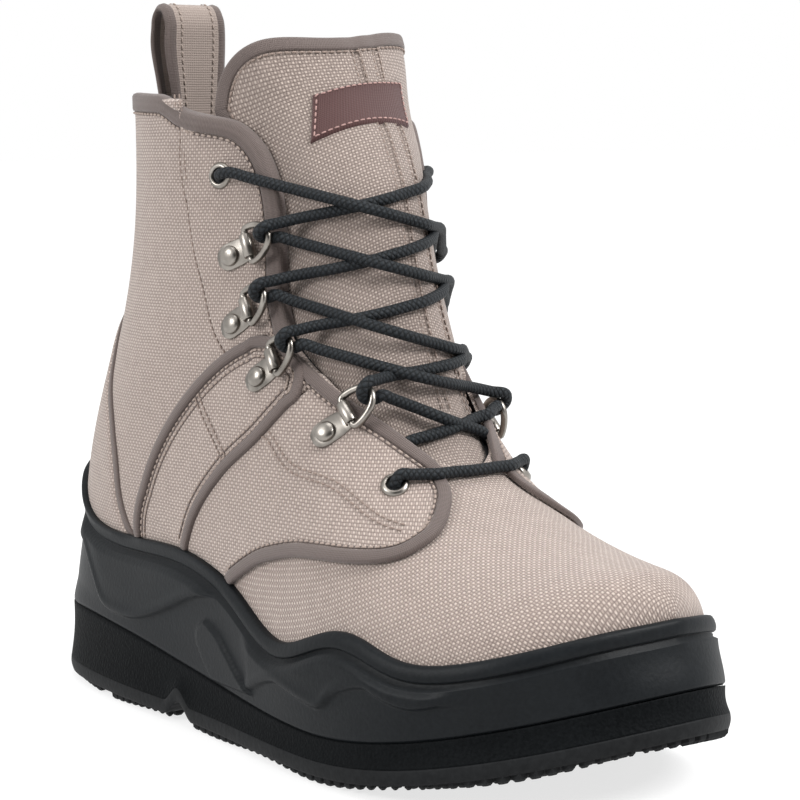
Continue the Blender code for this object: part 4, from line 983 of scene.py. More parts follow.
def backstay_spot(across, along):
    start = rand_row(across)
    row = blend(start, BACKSTAY[-1][0], along)
    half = value_at(BACKSTAY, row)
    return row, blend(half, -half, across)


def rand_row(across):
    low = BACKSTAY[0][0] - 1.2
    high = BACKSTAY[-1][0]
    for _ in range(16):
        middle = (low + high) / 2.0
        half = value_at(BACKSTAY, middle)
        point = last_points(middle, blend(half, -half, across))
        if point[2] > lip_beside(point) - 0.001:
            high = middle
        else:
            low = middle
    return high


def coarse_spots(spot, across_steps, along_steps):
    return np.array([[spot(across / across_steps, along / along_steps)
                      for along in range(along_steps + 1)]
                     for across in range(across_steps + 1)])


def edge_stops(count):
    """Shares from 0 to 1 with close ones at the ends, and how far each has risen off the upper."""
    ends = np.array([0.0, 0.003, 0.008, 0.016])
    shares = np.concatenate([ends, np.linspace(0.03, 0.97, count), 1.0 - ends[::-1]])
    rise = np.ones(len(shares))
    rise[:4] = (-0.35, 0.45, 0.85, 1.0)
    rise[-4:] = rise[:4][::-1]
    return shares, rise


def spread_spots(spots, across_shares, along_shares):
    down = spline_weights(spots[:, :, 0])
    rows = spline_at(down, across_shares * (spots.shape[0] - 1.0))
    rows = spline_at(spline_weights(rows.T), along_shares * (spots.shape[1] - 1.0)).T
    over = spline_weights(spots[:, :, 1])
    turns = spline_at(over, across_shares * (spots.shape[0] - 1.0))
    turns = spline_at(spline_weights(turns.T), along_shares * (spots.shape[1] - 1.0)).T
    return rows, turns


def build_panel(name, spot, side, size, node, coarse=(10, 16)):
    spots = coarse_spots(spot, *coarse)
    across, rise_across = edge_stops(size[0])
    along, rise_along = edge_stops(size[1])
    rows, turns = spread_spots(spots, across, along)
    rise = np.minimum(rise_across[:, None], rise_along[None, :])
    turns = side_turn(turns, side)
    faces = grid_faces(len(across), len(along))
    if side < 0:
        faces = [face[::-1] for face in faces]
    item = add_mesh(name, skin(rows, turns, rise * PANEL_LIFT).reshape(-1, 3), faces,
                    CLOTH, cloth_uv(rows, turns, WALL_UV).reshape(-1, 2))
    middle = (rows.shape[0] // 2, rows.shape[1] // 2)
    face_towards(item, last_normals(rows[middle], turns[middle]))
    return finish_piece(item, "boot_cloth", node)


PANELS = []
for side_name, side in (("outer", 1), ("inner", -1)):
    PANELS.append(build_panel(side_name + "_strap_cloth", strap_spot, side, (20, 60),
                              side_name + "_saddle_strap"))
    PANELS.append(build_panel(side_name + "_quarter_cloth", quarter_spot, side, (44, 96),
                              side_name + "_quarter", coarse=(12, 24)))
    PANELS.append(build_panel(side_name + "_facing_cloth", facing_spot, side, (36, 70),
                              side_name + "_facing"))
PANELS.append(build_panel("backstay_cloth", backstay_spot, 1, (110, 50), "backstay",
                          coarse=(20, 12)))
CLOTH_TREE = tree_from(UPPER, *PANELS)


def on_cloth(rows, turns):
    """Points on whatever cloth lies uppermost at these rows and turns."""
    rows, turns = np.broadcast_arrays(np.asarray(rows, float), np.asarray(turns, float))
    points = skin(rows, turns)
    normals = last_normals(rows, turns)
    out = []
    probe = 0.006
    for point, normal in zip(points.reshape(-1, 3), normals.reshape(-1, 3)):
        hit = CLOTH_TREE.ray_cast(Vector(point + normal * probe), Vector(-normal), 2.0 * probe)
        rise = probe - hit[3] if hit[3] is not None else PANEL_LIFT
        out.append(rise)
    rise = np.array(out)
    if len(rise) > 4:
        padded = np.concatenate([rise[:1], rise[:1], rise, rise[-1:], rise[-1:]])
        rise = np.convolve(padded, np.ones(5) / 5.0, mode="valid")
    rise = rise.reshape(points.shape[:-1])
    return points + normals * rise[..., None], normals


# Bound edges and seams
def path_on(spots, side):
    rows, turns = even_path([spot[0] for spot in spots], [spot[1] for spot in spots], 0.0011)
    return on_cloth(rows, side_turn(turns, side))


def throat_path():
    spots = [(row, edge_at(row) - 0.0058) for row in np.arange(FOLD_END + 0.3, 8.9, -0.3)]
    corner = [(8.10, 0.4590), (7.82, 0.4600), (7.58, 0.4565), (7.30, 0.4480), (7.06, 0.4330),
              (6.92, 0.4180)]
    foot = [(value_at(QUARTER_FOOT, turn) + 0.08, turn) for turn in
            (0.404, 0.388, 0.372, 0.360, 0.349, 0.333, 0.317, 0.300, 0.285, 0.264, 0.250)]
    return [spot for spot in spots if spot[1] < 0.455] + corner + foot


def cut_at_lip(spots):
    """Drops the part of a path that lies under the rand."""
    kept = []
    for row, turn in spots:
        point = last_points(row, turn)
        if point[2] > lip_beside(point) - 0.002:
            kept.append((row, turn))
    return kept


def strap_loop():
    """Along the strap's upper edge, round its front end and back along its lower edge."""
    spots = []
    for across, nudge in ((1.0, -0.06), (0.0, 0.06)):
        front = edge_turn(lambda turn: strap_row(turn, across)) - 0.022
        side = [(strap_row(turn, across) + nudge, turn) for turn in np.linspace(0.215, front, 24)]
        if across < 0.5:
            side = side[::-1]
            for share, inset in ((0.80, 0.0105), (0.62, 0.0075), (0.38, 0.0075), (0.20, 0.0105)):
                turn = edge_turn(lambda turn: strap_row(turn, share)) - inset
                spots.append((strap_row(turn, share), turn))
        spots += side
    return cut_at_lip(spots)


def backstay_edge():
    spots = [(row, value_at(BACKSTAY, row)) for row in np.linspace(17.3, 12.6, 18)]
    return cut_at_lip(spots)


SEAM_LINES = (
    ([(row, value_at(SIDE_SEAM, row)) for row in np.linspace(19.6, 13.15, 14)], (-0.0012, 0.0012), 0.0002),
    ([(strap_row(0.306, share), 0.306 + 0.003 * share) for share in np.linspace(0.97, 0.03, 8)],
     (-0.0011, 0.0011), 0.0002),
    ([(11.28, 0.320), (11.03, 0.340), (10.17, 0.346), (9.06, 0.372), (7.96, 0.389), (7.33, 0.402)],
     (-0.0012, 0.0012), 0.0002),
)


FOLD_END = 12.2


def rim_rail():
    """The upper's edge from one side of the throat up, round the collar and down the other side."""
    end = 0.5 - float(edge_gap(LAST_ROW))
    down = np.linspace(LAST_ROW, FOLD_END, 160)[1:]
    rows = np.concatenate([np.full(120, LAST_ROW), down])
    turns = np.concatenate([np.linspace(0.0, end, 120), 0.5 - edge_gap(down)])
    rows = collared(rows, turns)
    rows = np.concatenate([rows[::-1], rows[1:]])
    turns = np.concatenate([-turns[::-1], turns[1:]])
    edge = skin(rows, turns, -0.5 * UPPER_WALL)
    normals = last_normals(rows, turns)
    run = run_of(edge)
    wanted = np.linspace(0.0, run[-1], int(run[-1] / 0.0011))
    edge = np.stack([np.interp(wanted, run, edge[:, axis]) for axis in range(3)], axis=1)
    normals = np.stack([np.interp(wanted, run, normals[:, axis]) for axis in range(3)], axis=1)
    for _ in range(10):
        edge[1:-1] = 0.5 * edge[1:-1] + 0.25 * (edge[:-2] + edge[2:])
        normals[1:-1] = 0.5 * normals[1:-1] + 0.25 * (normals[:-2] + normals[2:])
    normals = unit(normals)
    up = unit(np.cross(unit(np.gradient(edge, axis=0)), normals))
    if up[len(up) // 2][2] < 0.0:
        up = -up
    height = []
    for point, normal, rise in zip(edge, normals, up):
        start = point + normal * 0.008 - rise * 0.0040
        hit = CLOTH_TREE.ray_cast(Vector(start), Vector(-normal), 0.016)
        height.append(0.008 - hit[3] if hit[3] is not None else 0.5 * UPPER_WALL)
    height = np.clip(height, 0.5 * UPPER_WALL, 0.5 * UPPER_WALL + 0.0030)
    padded = np.concatenate([height[:1].repeat(7), height, height[-1:].repeat(7)])
    return edge, normals, up, np.convolve(padded, np.ones(15) / 15.0, mode="valid")


def build_tapes():
    tape = Heap()
    threads = Heap()
    pale = Heap()
    stitch_shade_strips = Heap()
    for side in (1, -1):
        for spots, width, inward, rows_of in (
                (throat_path(), TAPE_WIDTH, -side, 1), (strap_loop(), 0.0040, -side, 2),
                (backstay_edge(), 0.0036, -side, 1)):
            points, normals = path_on(spots, side)
            ribbon(tape, points, normals, width, TAPE_LIFT + (0.0006 if rows_of > 1 else 0.0))
            for index in range(rows_of):
                offset = inward * (0.5 * width + 0.0008 + 0.0022 * index)
                # A thin dark tape-coloured strip under each stitch row: painted shade of the stitched
                # groove.
                ribbon(stitch_shade_strips, points, normals, 0.0011, 0.00012, offset)
                stitches(threads, points, normals, offset, 0.00022, thread=0.00036)
        for spots, offsets, lift in SEAM_LINES:
            points, normals = path_on(spots, side)
            for offset in offsets:
                stitches(pale, points, normals, offset, lift)
    edge, normals, up, height = rim_rail()
    inner = np.full(len(edge), -0.5 * UPPER_WALL - 0.0004)
    fold = [(height - 0.0006, -0.0051), (height + 0.0006, -0.0050), (height + 0.0009, -0.0044),
            (height + 0.0009, 0.0002), (height * 0.8 + 0.0006, 0.0010), (height * 0.4, 0.0015),
            (inner * 0.4, 0.0015), (inner * 0.8, 0.0010), (inner, 0.0002), (inner, -0.0044)]
    grid = np.stack([edge + normals * out[:, None] + up * rise for out, rise in fold], axis=1)
    run = run_of(edge)
    uv = np.stack([np.stack([run, np.full(len(run), index * 0.0015)], axis=1)
                   for index in range(len(fold))], axis=1)
    tape.add(grid.reshape(-1, 3), grid_faces(len(edge), len(fold)), uv.reshape(-1, 2))
    outside = edge + normals * (height + 0.0001)[:, None] - up * 0.0058
    # A thin dark strip under the collar's stitch row: painted shade of the stitched groove.
    ribbon(stitch_shade_strips, outside, normals, 0.0011, 0.00012)
    stitches(threads, outside, normals, 0.0, 0.00022, thread=0.00036)
    item = stitch_shade_strips.make("stitch_painted_shade", TAPE)
    turn_faces_out(item)
    finish_piece(item, "edge_tape")
    item = tape.make("bound_edges", TAPE)
    turn_faces_out(item)
    finish_piece(item, "edge_tape", "collar_tape")
    finish_piece(threads.make("tape_stitches", DARK_THREAD), "edge_tape")
    finish_piece(pale.make("seam_stitches", SEAM_THREAD), "boot_cloth")


build_tapes()


# Tongue
TONGUE_TOP = 21.45
PLEATS = (((21.6, 0.502), (19.0, 0.503), (15.0, 0.503), (11.5, 0.506), (9.4, 0.510)),
          ((21.6, 0.535), (19.0, 0.532), (15.0, 0.534), (11.5, 0.545), (9.4, 0.556)))


def pleat_turn(pleat, rows):
    table = sorted(pleat)
    return table_at(table, rows)


def tongue_half(rows):
    rows = np.asarray(rows, float)
    below = throat_gap(np.maximum(rows, 8.1)) + 0.030
    above = blend(0.169, 0.186, ease((rows - 18.0) / 2.0))
    return np.where(rows <= 18.0, below, above)


def tongue_face(rows, turns):
    """Height of the tongue's outer face off the upper's outer face."""
    rows, turns = np.broadcast_arrays(np.asarray(rows, float), np.asarray(turns, float))
    share = np.abs(turns - 0.5) / tongue_half(rows)
    tucked = -(UPPER_WALL + 0.0005)
    full = ease((rows - 9.0) / 1.5)
    face = blend(tucked, 0.0010, full * ease((0.86 - share) / 0.34))
    face = face + 0.0016 * ease((rows - 17.5) / 3.0) * ease((1.0 - share) / 0.5)
    for pleat in PLEATS:
        away = (turns - pleat_turn(pleat, rows)) * 0.30
        face = face - 0.0011 * np.exp(-(away / 0.0011) ** 2) * full
    return face


def tongue_rows(shares, levels):
    """Rows of the tongue, its top corners rounded off."""
    top = TONGUE_TOP - 1.9 * np.abs(shares) ** 5.0 - 0.10 * np.cos(7.0 * shares + 0.8)
    top = top - 0.38 * (1.0 - shares)
    knee = 0.84
    low = blend(7.3, 19.0, levels / knee)
    high = blend(19.0, top, (levels - knee) / (1.0 - knee))
    return np.where(levels <= knee, low, high)


def tongue_grid(shares, levels):
    shares, levels = np.meshgrid(shares, levels)
    rows = tongue_rows(shares, levels)
    turns = 0.5 + shares * tongue_half(rows)
    return rows, turns


def build_tongue():
    shares, rise_across = edge_stops(120)
    shares = 2.0 * shares - 1.0
    levels, rise_along = edge_stops(150)
    rise_along[:4] = 1.0
    rise_across = np.clip(rise_across, 0.0, 1.0)
    rise_along = np.clip(rise_along, 0.0, 1.0)
    rows, turns = tongue_grid(shares, levels)
    rim = np.minimum(rise_across[None, :], rise_along[:, None])
    away = np.minimum(1.0 - np.abs(shares)[None, :], (1.0 - levels)[:, None] * 3.0)
    thick = blend(0.0022, 0.0070, ease(away / 0.16) * ease((rows - 14.0) / 5.0))
    thick = np.maximum(thick, blend(0.0022, 0.0042, ease(away / 0.16)))
    middle = tongue_face(rows, turns) - 0.5 * thick
    middle = middle + 0.0012 * ease((rows - 19.0) / 3.0)
    grids = [middle + 0.5 * thick * rim, middle - 0.5 * thick * rim]
    heap = Heap()
    for index, lift in enumerate(grids):
        faces = grid_faces(len(levels), len(shares))
        if index == 0:
            faces = [face[::-1] for face in faces]
        heap.add(skin(rows, turns, lift).reshape(-1, 3), faces,
                 cloth_uv(rows, turns, VAMP_UV).reshape(-1, 2))
    item = heap.make("tongue_pad", TONGUE_CLOTH_PAINTED_SHADE)
    weld(item)
    finish_piece(item, "boot_cloth", "tongue")
    return item


TONGUE = build_tongue()
TONGUE_TREE = tree_from(TONGUE)


def on_tongue(rows, turns, lift=0.0):
    rows, turns = np.broadcast_arrays(np.asarray(rows, float), np.asarray(turns, float))
    points = skin(rows, turns)
    normals = last_normals(rows, turns)
    probe = 0.008
    rise = []
    for point, normal in zip(points.reshape(-1, 3), normals.reshape(-1, 3)):
        hit = TONGUE_TREE.ray_cast(Vector(point + normal * probe), Vector(-normal), 2.5 * probe)
        rise.append(probe - hit[3] if hit[3] is not None else 0.0)
    rise = np.array(rise).reshape(points.shape[:-1])
    return points + normals * (rise + lift)[..., None], normals


def build_tongue_trim():
    tape = Heap()
    threads = Heap()
    edge = 0.985
    up = np.linspace(0.62, 0.985, 40)
    left = [(float(tongue_rows(np.array(-edge), level)), level, -edge) for level in up]
    across = np.linspace(-edge, edge, 60)[1:-1]
    top = [(float(tongue_rows(np.array(share), 0.985)), 0.985, share) for share in across]
    right = [(row, level, edge) for row, level, _ in reversed(left)]
    line = left + top + right
    rows = np.array([spot[0] for spot in line])
    shares = np.array([spot[2] for spot in line])
    turns = 0.5 + shares * tongue_half(rows)
    rows, turns = even_path(rows, turns, 0.0012)
    points, normals = on_tongue(rows, turns)
    for _ in range(6):
        points[1:-1] = 0.5 * points[1:-1] + 0.25 * (points[:-2] + points[2:])
    ribbon(tape, points, normals, 0.0050, 0.0009)
    across_way = unit(np.cross(normals, unit(np.gradient(points, axis=0))))
    facing_in = 1.0 if float(np.dot(across_way[len(points) // 2], (0.0, 0.0, 1.0))) < 0.0 else -1.0
    stitches(threads, points, normals, facing_in * 0.0033, 0.0002, thread=0.00034)
    for pleat in PLEATS:
        table = sorted(pleat, reverse=True)
        rows, turns = even_path([spot[0] - 0.25 for spot in table], [spot[1] for spot in table], 0.0012)
        points, normals = on_tongue(rows, turns, 0.0006)
        for offset in (-0.0017, 0.0017):
            stitches(threads, points, normals, offset, 0.0002)
    item = tape.make("tongue_binding", TAPE)
    turn_faces_out(item)
    finish_piece(item, "edge_tape")
    finish_piece(threads.make("tongue_stitches", SEAM_THREAD), "boot_cloth")


build_tongue_trim()


def build_label():
    down = 0.5 * 0.0178
    half = 0.5 * 0.040
    middle_row = 17.18
    middle_turn = 0.4925
    per_row = float(np.linalg.norm(last_points(18.0, 0.5) - last_points(17.0, 0.5)))
    per_turn = float(np.linalg.norm(last_points(17.5, 0.51) - last_points(17.5, 0.50))) / 0.01
    shares, rise = edge_stops(20)
    levels, rise_down = edge_stops(10)
    slope = blend(0.27 + 0.18 * shares[None, :], 0.65 * shares[None, :], levels[:, None])
    rows = middle_row + (2.0 * levels[:, None] - 1.0) * down / per_row + slope
    lean = 0.0024 * (2.0 * levels[:, None] - 1.0)
    turns = middle_turn + ((2.0 * shares[None, :] - 1.0) * half + lean) / per_turn
    lift = np.minimum(rise[None, :], rise_down[:, None]) * 0.0013
    points, normals = on_tongue(rows, turns)
    smooth = points.copy()
    for _ in range(10):
        smooth[1:-1, 1:-1] = 0.25 * (smooth[:-2, 1:-1] + smooth[2:, 1:-1]
                                     + smooth[1:-1, :-2] + smooth[1:-1, 2:])
    points = smooth + normals * (lift + 0.0002)[..., None]
    faces = [face[::-1] for face in grid_faces(len(levels), len(shares))]
    uv = np.stack(np.meshgrid((2.0 * shares - 1.0) * half, (2.0 * levels - 1.0) * down), axis=-1)
    item = add_mesh("label_patch", points.reshape(-1, 3), faces, PATCH, uv.reshape(-1, 2))
    turn_faces_out(item)
    face_towards(item, normals[5, 10])
    finish_piece(item, "patch_cloth", "tongue_label")
    threads = Heap()
    inset = 3
    ring = [(inset, column) for column in range(inset, len(shares) - inset)]
    ring += [(row, len(shares) - 1 - inset) for row in range(inset, len(levels) - inset)]
    ring += [(len(levels) - 1 - inset, column) for column in range(len(shares) - 1 - inset, inset - 1, -1)]
    ring += [(row, inset) for row in range(len(levels) - 1 - inset, inset - 1, -1)]
    line = np.array([points[spot] for spot in ring])
    keep = [0] + [index for index in range(1, len(line))
                  if np.linalg.norm(line[index] - line[index - 1]) > 1e-5]
    line = line[keep]
    up = np.array([normals[ring[index]] for index in keep])
    stitches(threads, line, up, 0.0, 0.0001, length=0.0017, pitch=0.0024, thread=0.00026)
    finish_piece(threads.make("label_stitches", PALE_THREAD), "patch_cloth")


build_label()


# Pull loop
def build_pull_loop():
    top_row = float(collar_row(0.0))
    per_turn = float(np.linalg.norm(last_points(top_row, 0.01) - last_points(top_row, -0.01))) / 0.02
    per_row = float(np.linalg.norm(last_points(top_row, 0.0) - last_points(top_row - 1.0, 0.0)))
    edge = last_points(top_row, 0.0)
    away = 0.0019
    rise = 0.034
    width = 0.026
    low = top_row - 0.016 / per_row
    rails = []
    shares = np.array([-0.5, -0.49, -0.47, -0.42, -0.33, -0.22, -0.11, 0.0, 0.11, 0.22, 0.33, 0.42,
                       0.47, 0.49, 0.5])
    for across in shares:
        turn = across * width / per_turn
        outside = edge[1] + away + 0.0016
        inside = edge[1] - UPPER_WALL - away - 0.0002
        middle = 0.5 * (outside + inside)
        half = 0.5 * (outside - inside)
        line = [skin(low, turn, away), skin(0.5 * (low + top_row), turn, away), skin(top_row, turn, away)]
        x = edge[0] - across * width
        top = edge[2] + rise
        line.append(np.array([x, outside + 0.0006, edge[2] + 0.5 * rise]))
        for step in range(7):
            angle = math.pi * step / 6.0
            line.append(np.array([x, middle + (half + 0.0007) * math.cos(angle),
                                  top - 0.008 + 0.008 * math.sin(angle)]))
        line.append(np.array([x, inside - 0.0004, edge[2] + 0.5 * rise]))
        line += [skin(top_row, turn, -UPPER_WALL - away),
                 skin(0.5 * (low + top_row), turn, -UPPER_WALL - away), skin(low, turn, -UPPER_WALL - away)]
        smooth = smooth_line(np.array(line), 8)
        rails.append(smooth)
    near = np.stack(rails, axis=1)
    way = unit(np.gradient(near, axis=0))
    side = unit(np.gradient(near, axis=1))
    normal = unit(np.cross(side, way))
    middle_index = len(near) // 2
    if normal[middle_index, 7][2] < 0.0:
        normal = -normal
    thick = 0.0019 * np.sqrt(np.clip(1.0 - (2.0 * shares) ** 8, 0.02, 1.0))
    far = near + normal * thick[None, :, None]
    run = run_of(near[:, 7])
    uv = np.stack([np.repeat(run[:, None], len(shares), axis=1),
                   np.repeat(shares[None, :] * width, len(run), axis=0)], axis=-1)
    heap = Heap()
    rows, columns = near.shape[:2]
    heap.add(far.reshape(-1, 3), grid_faces(rows, columns), uv.reshape(-1, 2))
    heap.add(near.reshape(-1, 3), [face[::-1] for face in grid_faces(rows, columns)], uv.reshape(-1, 2))
    base = rows * columns
    rim = [row * columns for row in range(rows)]
    rim += [(rows - 1) * columns + column for column in range(1, columns)]
    rim += [row * columns + columns - 1 for row in range(rows - 2, -1, -1)]
    rim += [column for column in range(columns - 2, 0, -1)]
    for start, end in zip(rim, rim[1:] + rim[:1]):
        heap.faces.append((start, end, base + end, base + start))
    item = heap.make("pull_webbing", WEBBING)
    turn_faces_out(item)
    finish_piece(item, "edge_tape", "pull_loop")
    threads = Heap()
    tape = Heap()
    for columns in ((4, 3, 2, 1, 0), (10, 11, 12, 13, 14)):
        lifts = (-0.0004, 0.0006, 0.0007, 0.0005, 0.0002)
        strip = [far[:, column] + normal[:, column] * lift for column, lift in zip(columns, lifts)]
        last = columns[-1]
        edge_way = side[:, last] * (1.0 if last else -1.0)
        strip.append(blend(far[:, last], near[:, last], 0.5) + edge_way * 0.0007)
        strip.append(near[:, last] - normal[:, last] * 0.0003)
        strip += [near[:, column] - normal[:, column] * 0.0006 for column in reversed(columns[1:-1])]
        strip.append(near[:, columns[0]] + normal[:, columns[0]] * 0.0004)
        strip = np.stack(strip, axis=1)
        strip_uv = np.stack([np.repeat(run[:, None], strip.shape[1], axis=1),
                             np.repeat(np.arange(strip.shape[1])[None, :] * 0.001, len(run), axis=0)],
                            axis=-1)
        tape.add(strip.reshape(-1, 3), grid_faces(len(run), strip.shape[1]), strip_uv.reshape(-1, 2))
        inner = blend(far[:, columns[0]], far[:, 7], 0.18) + normal[:, 7] * 0.0002
        stitches(threads, inner, normal[:, 7])
    item = tape.make("loop_edges", TAPE)
    turn_faces_out(item)
    finish_piece(item, "edge_tape")
    for index in (6, 14):
        stitches(threads, far[index, 1:-1] + normal[index, 1:-1] * 0.0001, normal[index, 1:-1])
    finish_piece(threads.make("loop_stitches", DARK_THREAD), "edge_tape")


build_pull_loop()


# Rand
WAVE_LINES = (
    (((30.0, 58.0), (38.0, 55.5), (42.0, 54.0), (52.0, 46.0), (65.0, 35.0), (78.0, 32.9), (91.0, 33.5),
      (103.0, 36.5), (115.0, 40.6), (124.0, 44.0), (136.0, 48.0), (148.0, 49.6), (158.0, 50.8),
      (166.0, 51.6)), 0.0021),
    (((166.0, 21.0), (176.0, 24.0), (184.0, 27.0), (193.0, 29.0), (199.0, 28.0), (211.0, 25.6),
      (218.0, 25.3), (225.0, 30.4), (234.0, 34.0), (240.0, 35.0), (246.0, 33.0), (252.0, 31.3),
      (258.0, 31.0), (266.0, 33.0)), 0.0016),
)
LEAF_LEFT = ((21.0, 144.0), (28.0, 137.0), (35.0, 134.0), (38.0, 136.0), (40.8, 141.0))
LEAF_RIGHT = ((21.0, 173.0), (22.5, 170.0), (31.0, 158.0), (38.0, 148.0), (40.8, 141.0))
LEAF_HEIGHT = 0.0015


def waves(station_mm, height_mm):
    """Relief of the rand's side in metres: bands that stand out above each wave line."""
    out = np.zeros_like(height_mm)
    for line, size in WAVE_LINES:
        start, end = line[0][0], line[-1][0]
        level = table_at(line, station_mm)
        ends = ease((station_mm - start) / 9.0) * ease((end + 10.0 - station_mm) / 16.0)
        above = ease((height_mm - level + 0.7) / 1.4)
        crest = np.exp(-((height_mm - level - 2.0) / 1.9) ** 2)
        fade = ease((level + 26.0 - height_mm) / 18.0)
        out = out + size * ends * (above * blend(0.55, 1.0, fade) + 0.30 * crest)
    left = table_at(LEAF_LEFT, height_mm)
    right = table_at(LEAF_RIGHT, height_mm)
    inside = np.minimum(station_mm - left, right - station_mm)
    inside = np.minimum(inside, height_mm - 20.5)
    leaf = ease((inside + 0.6) / 1.6) * ease((41.5 - height_mm) / 1.5)
    return out + LEAF_HEIGHT * leaf


def rim_reach(points, normals, heights):
    """Distance from the sole outline in to the cloth, for each place and height."""
    out = np.empty(heights.shape)
    start_off = 0.030
    for place in range(heights.shape[0]):
        normal = Vector((normals[place, 0], normals[place, 1], 0.0))
        for level in range(heights.shape[1]):
            start = Vector((points[place, 0], points[place, 1], heights[place, level])) \
                + normal * start_off
            hit = CLOTH_TREE.ray_cast(start, -normal, 0.075)
            out[place, level] = hit[3] - start_off if hit[3] is not None else np.nan
    return out


def build_rand():
    count = 640
    places = np.arange(count) / count
    points, normals, rows = outline_at(places)
    along = station(points)
    low = seam_height(along)
    top = lip_height(rows)
    groove = top - LIP_BEAD - 0.0003
    side = 44
    side_share = np.linspace(0.0, 1.0, side)
    heights = blend(low[:, None], groove[:, None] - 0.0010, side_share[None, :])
    reach = rim_reach(points, normals, heights)
    for level in range(side - 2, -1, -1):
        missing = np.isnan(reach[:, level])
        reach[missing, level] = reach[missing, level + 1]
    reach = np.minimum(reach, 0.014)
    top_reach = rim_reach(points, normals, np.stack([groove, 0.5 * (groove + top), top], axis=1))
    for level in (1, 2):
        missing = np.isnan(top_reach[:, level])
        top_reach[missing, level] = top_reach[missing, level - 1] + 0.002
    kernel = np.ones(9) / 9.0
    for table in (reach, top_reach):
        for level in range(table.shape[1]):
            wrapped = np.concatenate([table[-4:, level], table[:, level], table[:4, level]])
            table[:, level] = np.convolve(wrapped, kernel, mode="valid")
    share = (heights - low[:, None]) / (groove - low)[:, None]
    face = ease(share) * (-top_reach[:, :1] + RAND_WALL)
    face = np.maximum(face, -reach + 0.0021)
    station_mm = np.repeat(along[:, None] * SOLE_LENGTH * 1000.0, side, axis=1)
    relief = waves(station_mm, heights * 1000.0)
    relief = relief * ease((groove[:, None] - heights) / 0.0035)
    relief = relief - 0.0013 * ease((70.0 - station_mm) / 40.0) * ease(share * 4.0)
    low_round = 0.0009 * (1.0 - ease((heights - low[:, None]) / 0.0012))
    face = face + relief - low_round
    columns = [(face[:, level], heights[:, level]) for level in range(side)]
    in_groove = -top_reach[:, 0] + RAND_WALL - 0.0015
    columns.append((in_groove, groove - 0.0004))
    columns.append((in_groove, groove + 0.0004))
    bead = 14
    for step in range(bead + 1):
        share = step / bead
        angle = math.pi * share
        level = groove + 0.0010 + (top - groove - 0.0010) * (0.5 - 0.5 * math.cos(angle))
        near = np.where(level < 0.5 * (groove + top),
                        blend(top_reach[:, 0], top_reach[:, 1], (level - groove) / (0.5 * (top - groove))),
                        blend(top_reach[:, 1], top_reach[:, 2],
                              (level - 0.5 * (groove + top)) / (0.5 * (top - groove))))
        bulge = RAND_WALL * 0.30 + RAND_WALL * 0.72 * math.sin(angle) ** 0.45 * (1.0 - 0.30 * share)
        columns.append((-near + bulge, level))
    columns.append((-top_reach[:, 2] - 0.0012, top - 0.0005))
    out = np.stack([column[0] for column in columns], axis=1)
    rise = np.stack([column[1] for column in columns], axis=1)
    grid = np.stack([points[:, None, 0] + normals[:, None, 0] * out,
                     points[:, None, 1] + normals[:, None, 1] * out, rise], axis=-1)
    faces = hoop_faces(count, grid.shape[1])
    item = add_mesh("moulded_rand", grid.reshape(-1, 3), faces, RUBBER)
    turn_faces_out(item)
    finish_piece(item, "rand_rubber", "rand")


build_rand()


# Sole
def tread_top(along):
    return floor_rise(along) + LUG_HEIGHT + TREAD_LAYER - 0.0012 + notch(along)


def band(name, material, slot, node, low_at, high_at, low_off, high_off, levels, hollow):
    """Wall round the sole between two heights, flared from one offset to another."""
    count = 480
    points, normals, _ = outline_at(np.arange(count) / count)
    columns = []
    for share in np.linspace(0.0, 1.0, levels):
        off = blend(low_off, high_off, share) - hollow * math.sin(math.pi * share)
        spot = points + normals * off
        along = station(spot)
        height = blend(low_at(along), high_at(along), share)
        columns.append(np.concatenate([spot, height[:, None]], axis=1))
    for inset, column in ((-0.004, 0), (-0.004, -1)):
        spot = points + normals * ((low_off if column == 0 else high_off) + inset)
        along = station(spot)
        height = low_at(along) if column == 0 else high_at(along)
        ring = np.concatenate([spot, height[:, None]], axis=1)
        columns = [ring] + columns if column == 0 else columns + [ring]
    grid = np.stack(columns, axis=1)
    faces = hoop_faces(count, grid.shape[1])
    item = add_mesh(name, grid.reshape(-1, 3), faces, material)
    turn_faces_out(item)
    return finish_piece(item, slot, node)


def inside_outline(x, y, margin):
    away = np.array([x, y]) - RIM_POINTS
    near = int(np.argmin(np.sum(away ** 2, axis=1)))
    _, normal, _ = outline_at(RIM_PLACES[near:near + 1])
    return float(away[near] @ normal[0]) < 0.0 and float(np.linalg.norm(away[near])) > margin


LUG_SIZE = 0.0160
LUG_PITCH = 0.0235
LUG_EDGE = 0.0015


def lug_places():
    places = []
    reach = int(SOLE_LENGTH / LUG_PITCH) + 1
    half = LUG_SIZE / 2.0
    ahead_limit = min(point[1] for point in plan_points())
    for row in range(-reach, reach + 1):
        y = row * LUG_PITCH
        if y > HEEL_REST or y < ahead_limit:
            continue
        shift = 0.5 * LUG_PITCH * (row % 2)
        near_notch = abs((HEEL_REST - y) / SOLE_LENGTH - NOTCH_PLACE) * SOLE_LENGTH
        if near_notch < NOTCH_WIDTH / 2.0 + half:
            continue
        for column in range(-reach, reach + 1):
            x = column * LUG_PITCH + shift
            if abs(x) < 0.6 * BALL_WIDTH and inside_outline(x, y, 1.3 * half + LUG_EDGE - TREAD_FLARE):
                places.append((x, y))
    return places


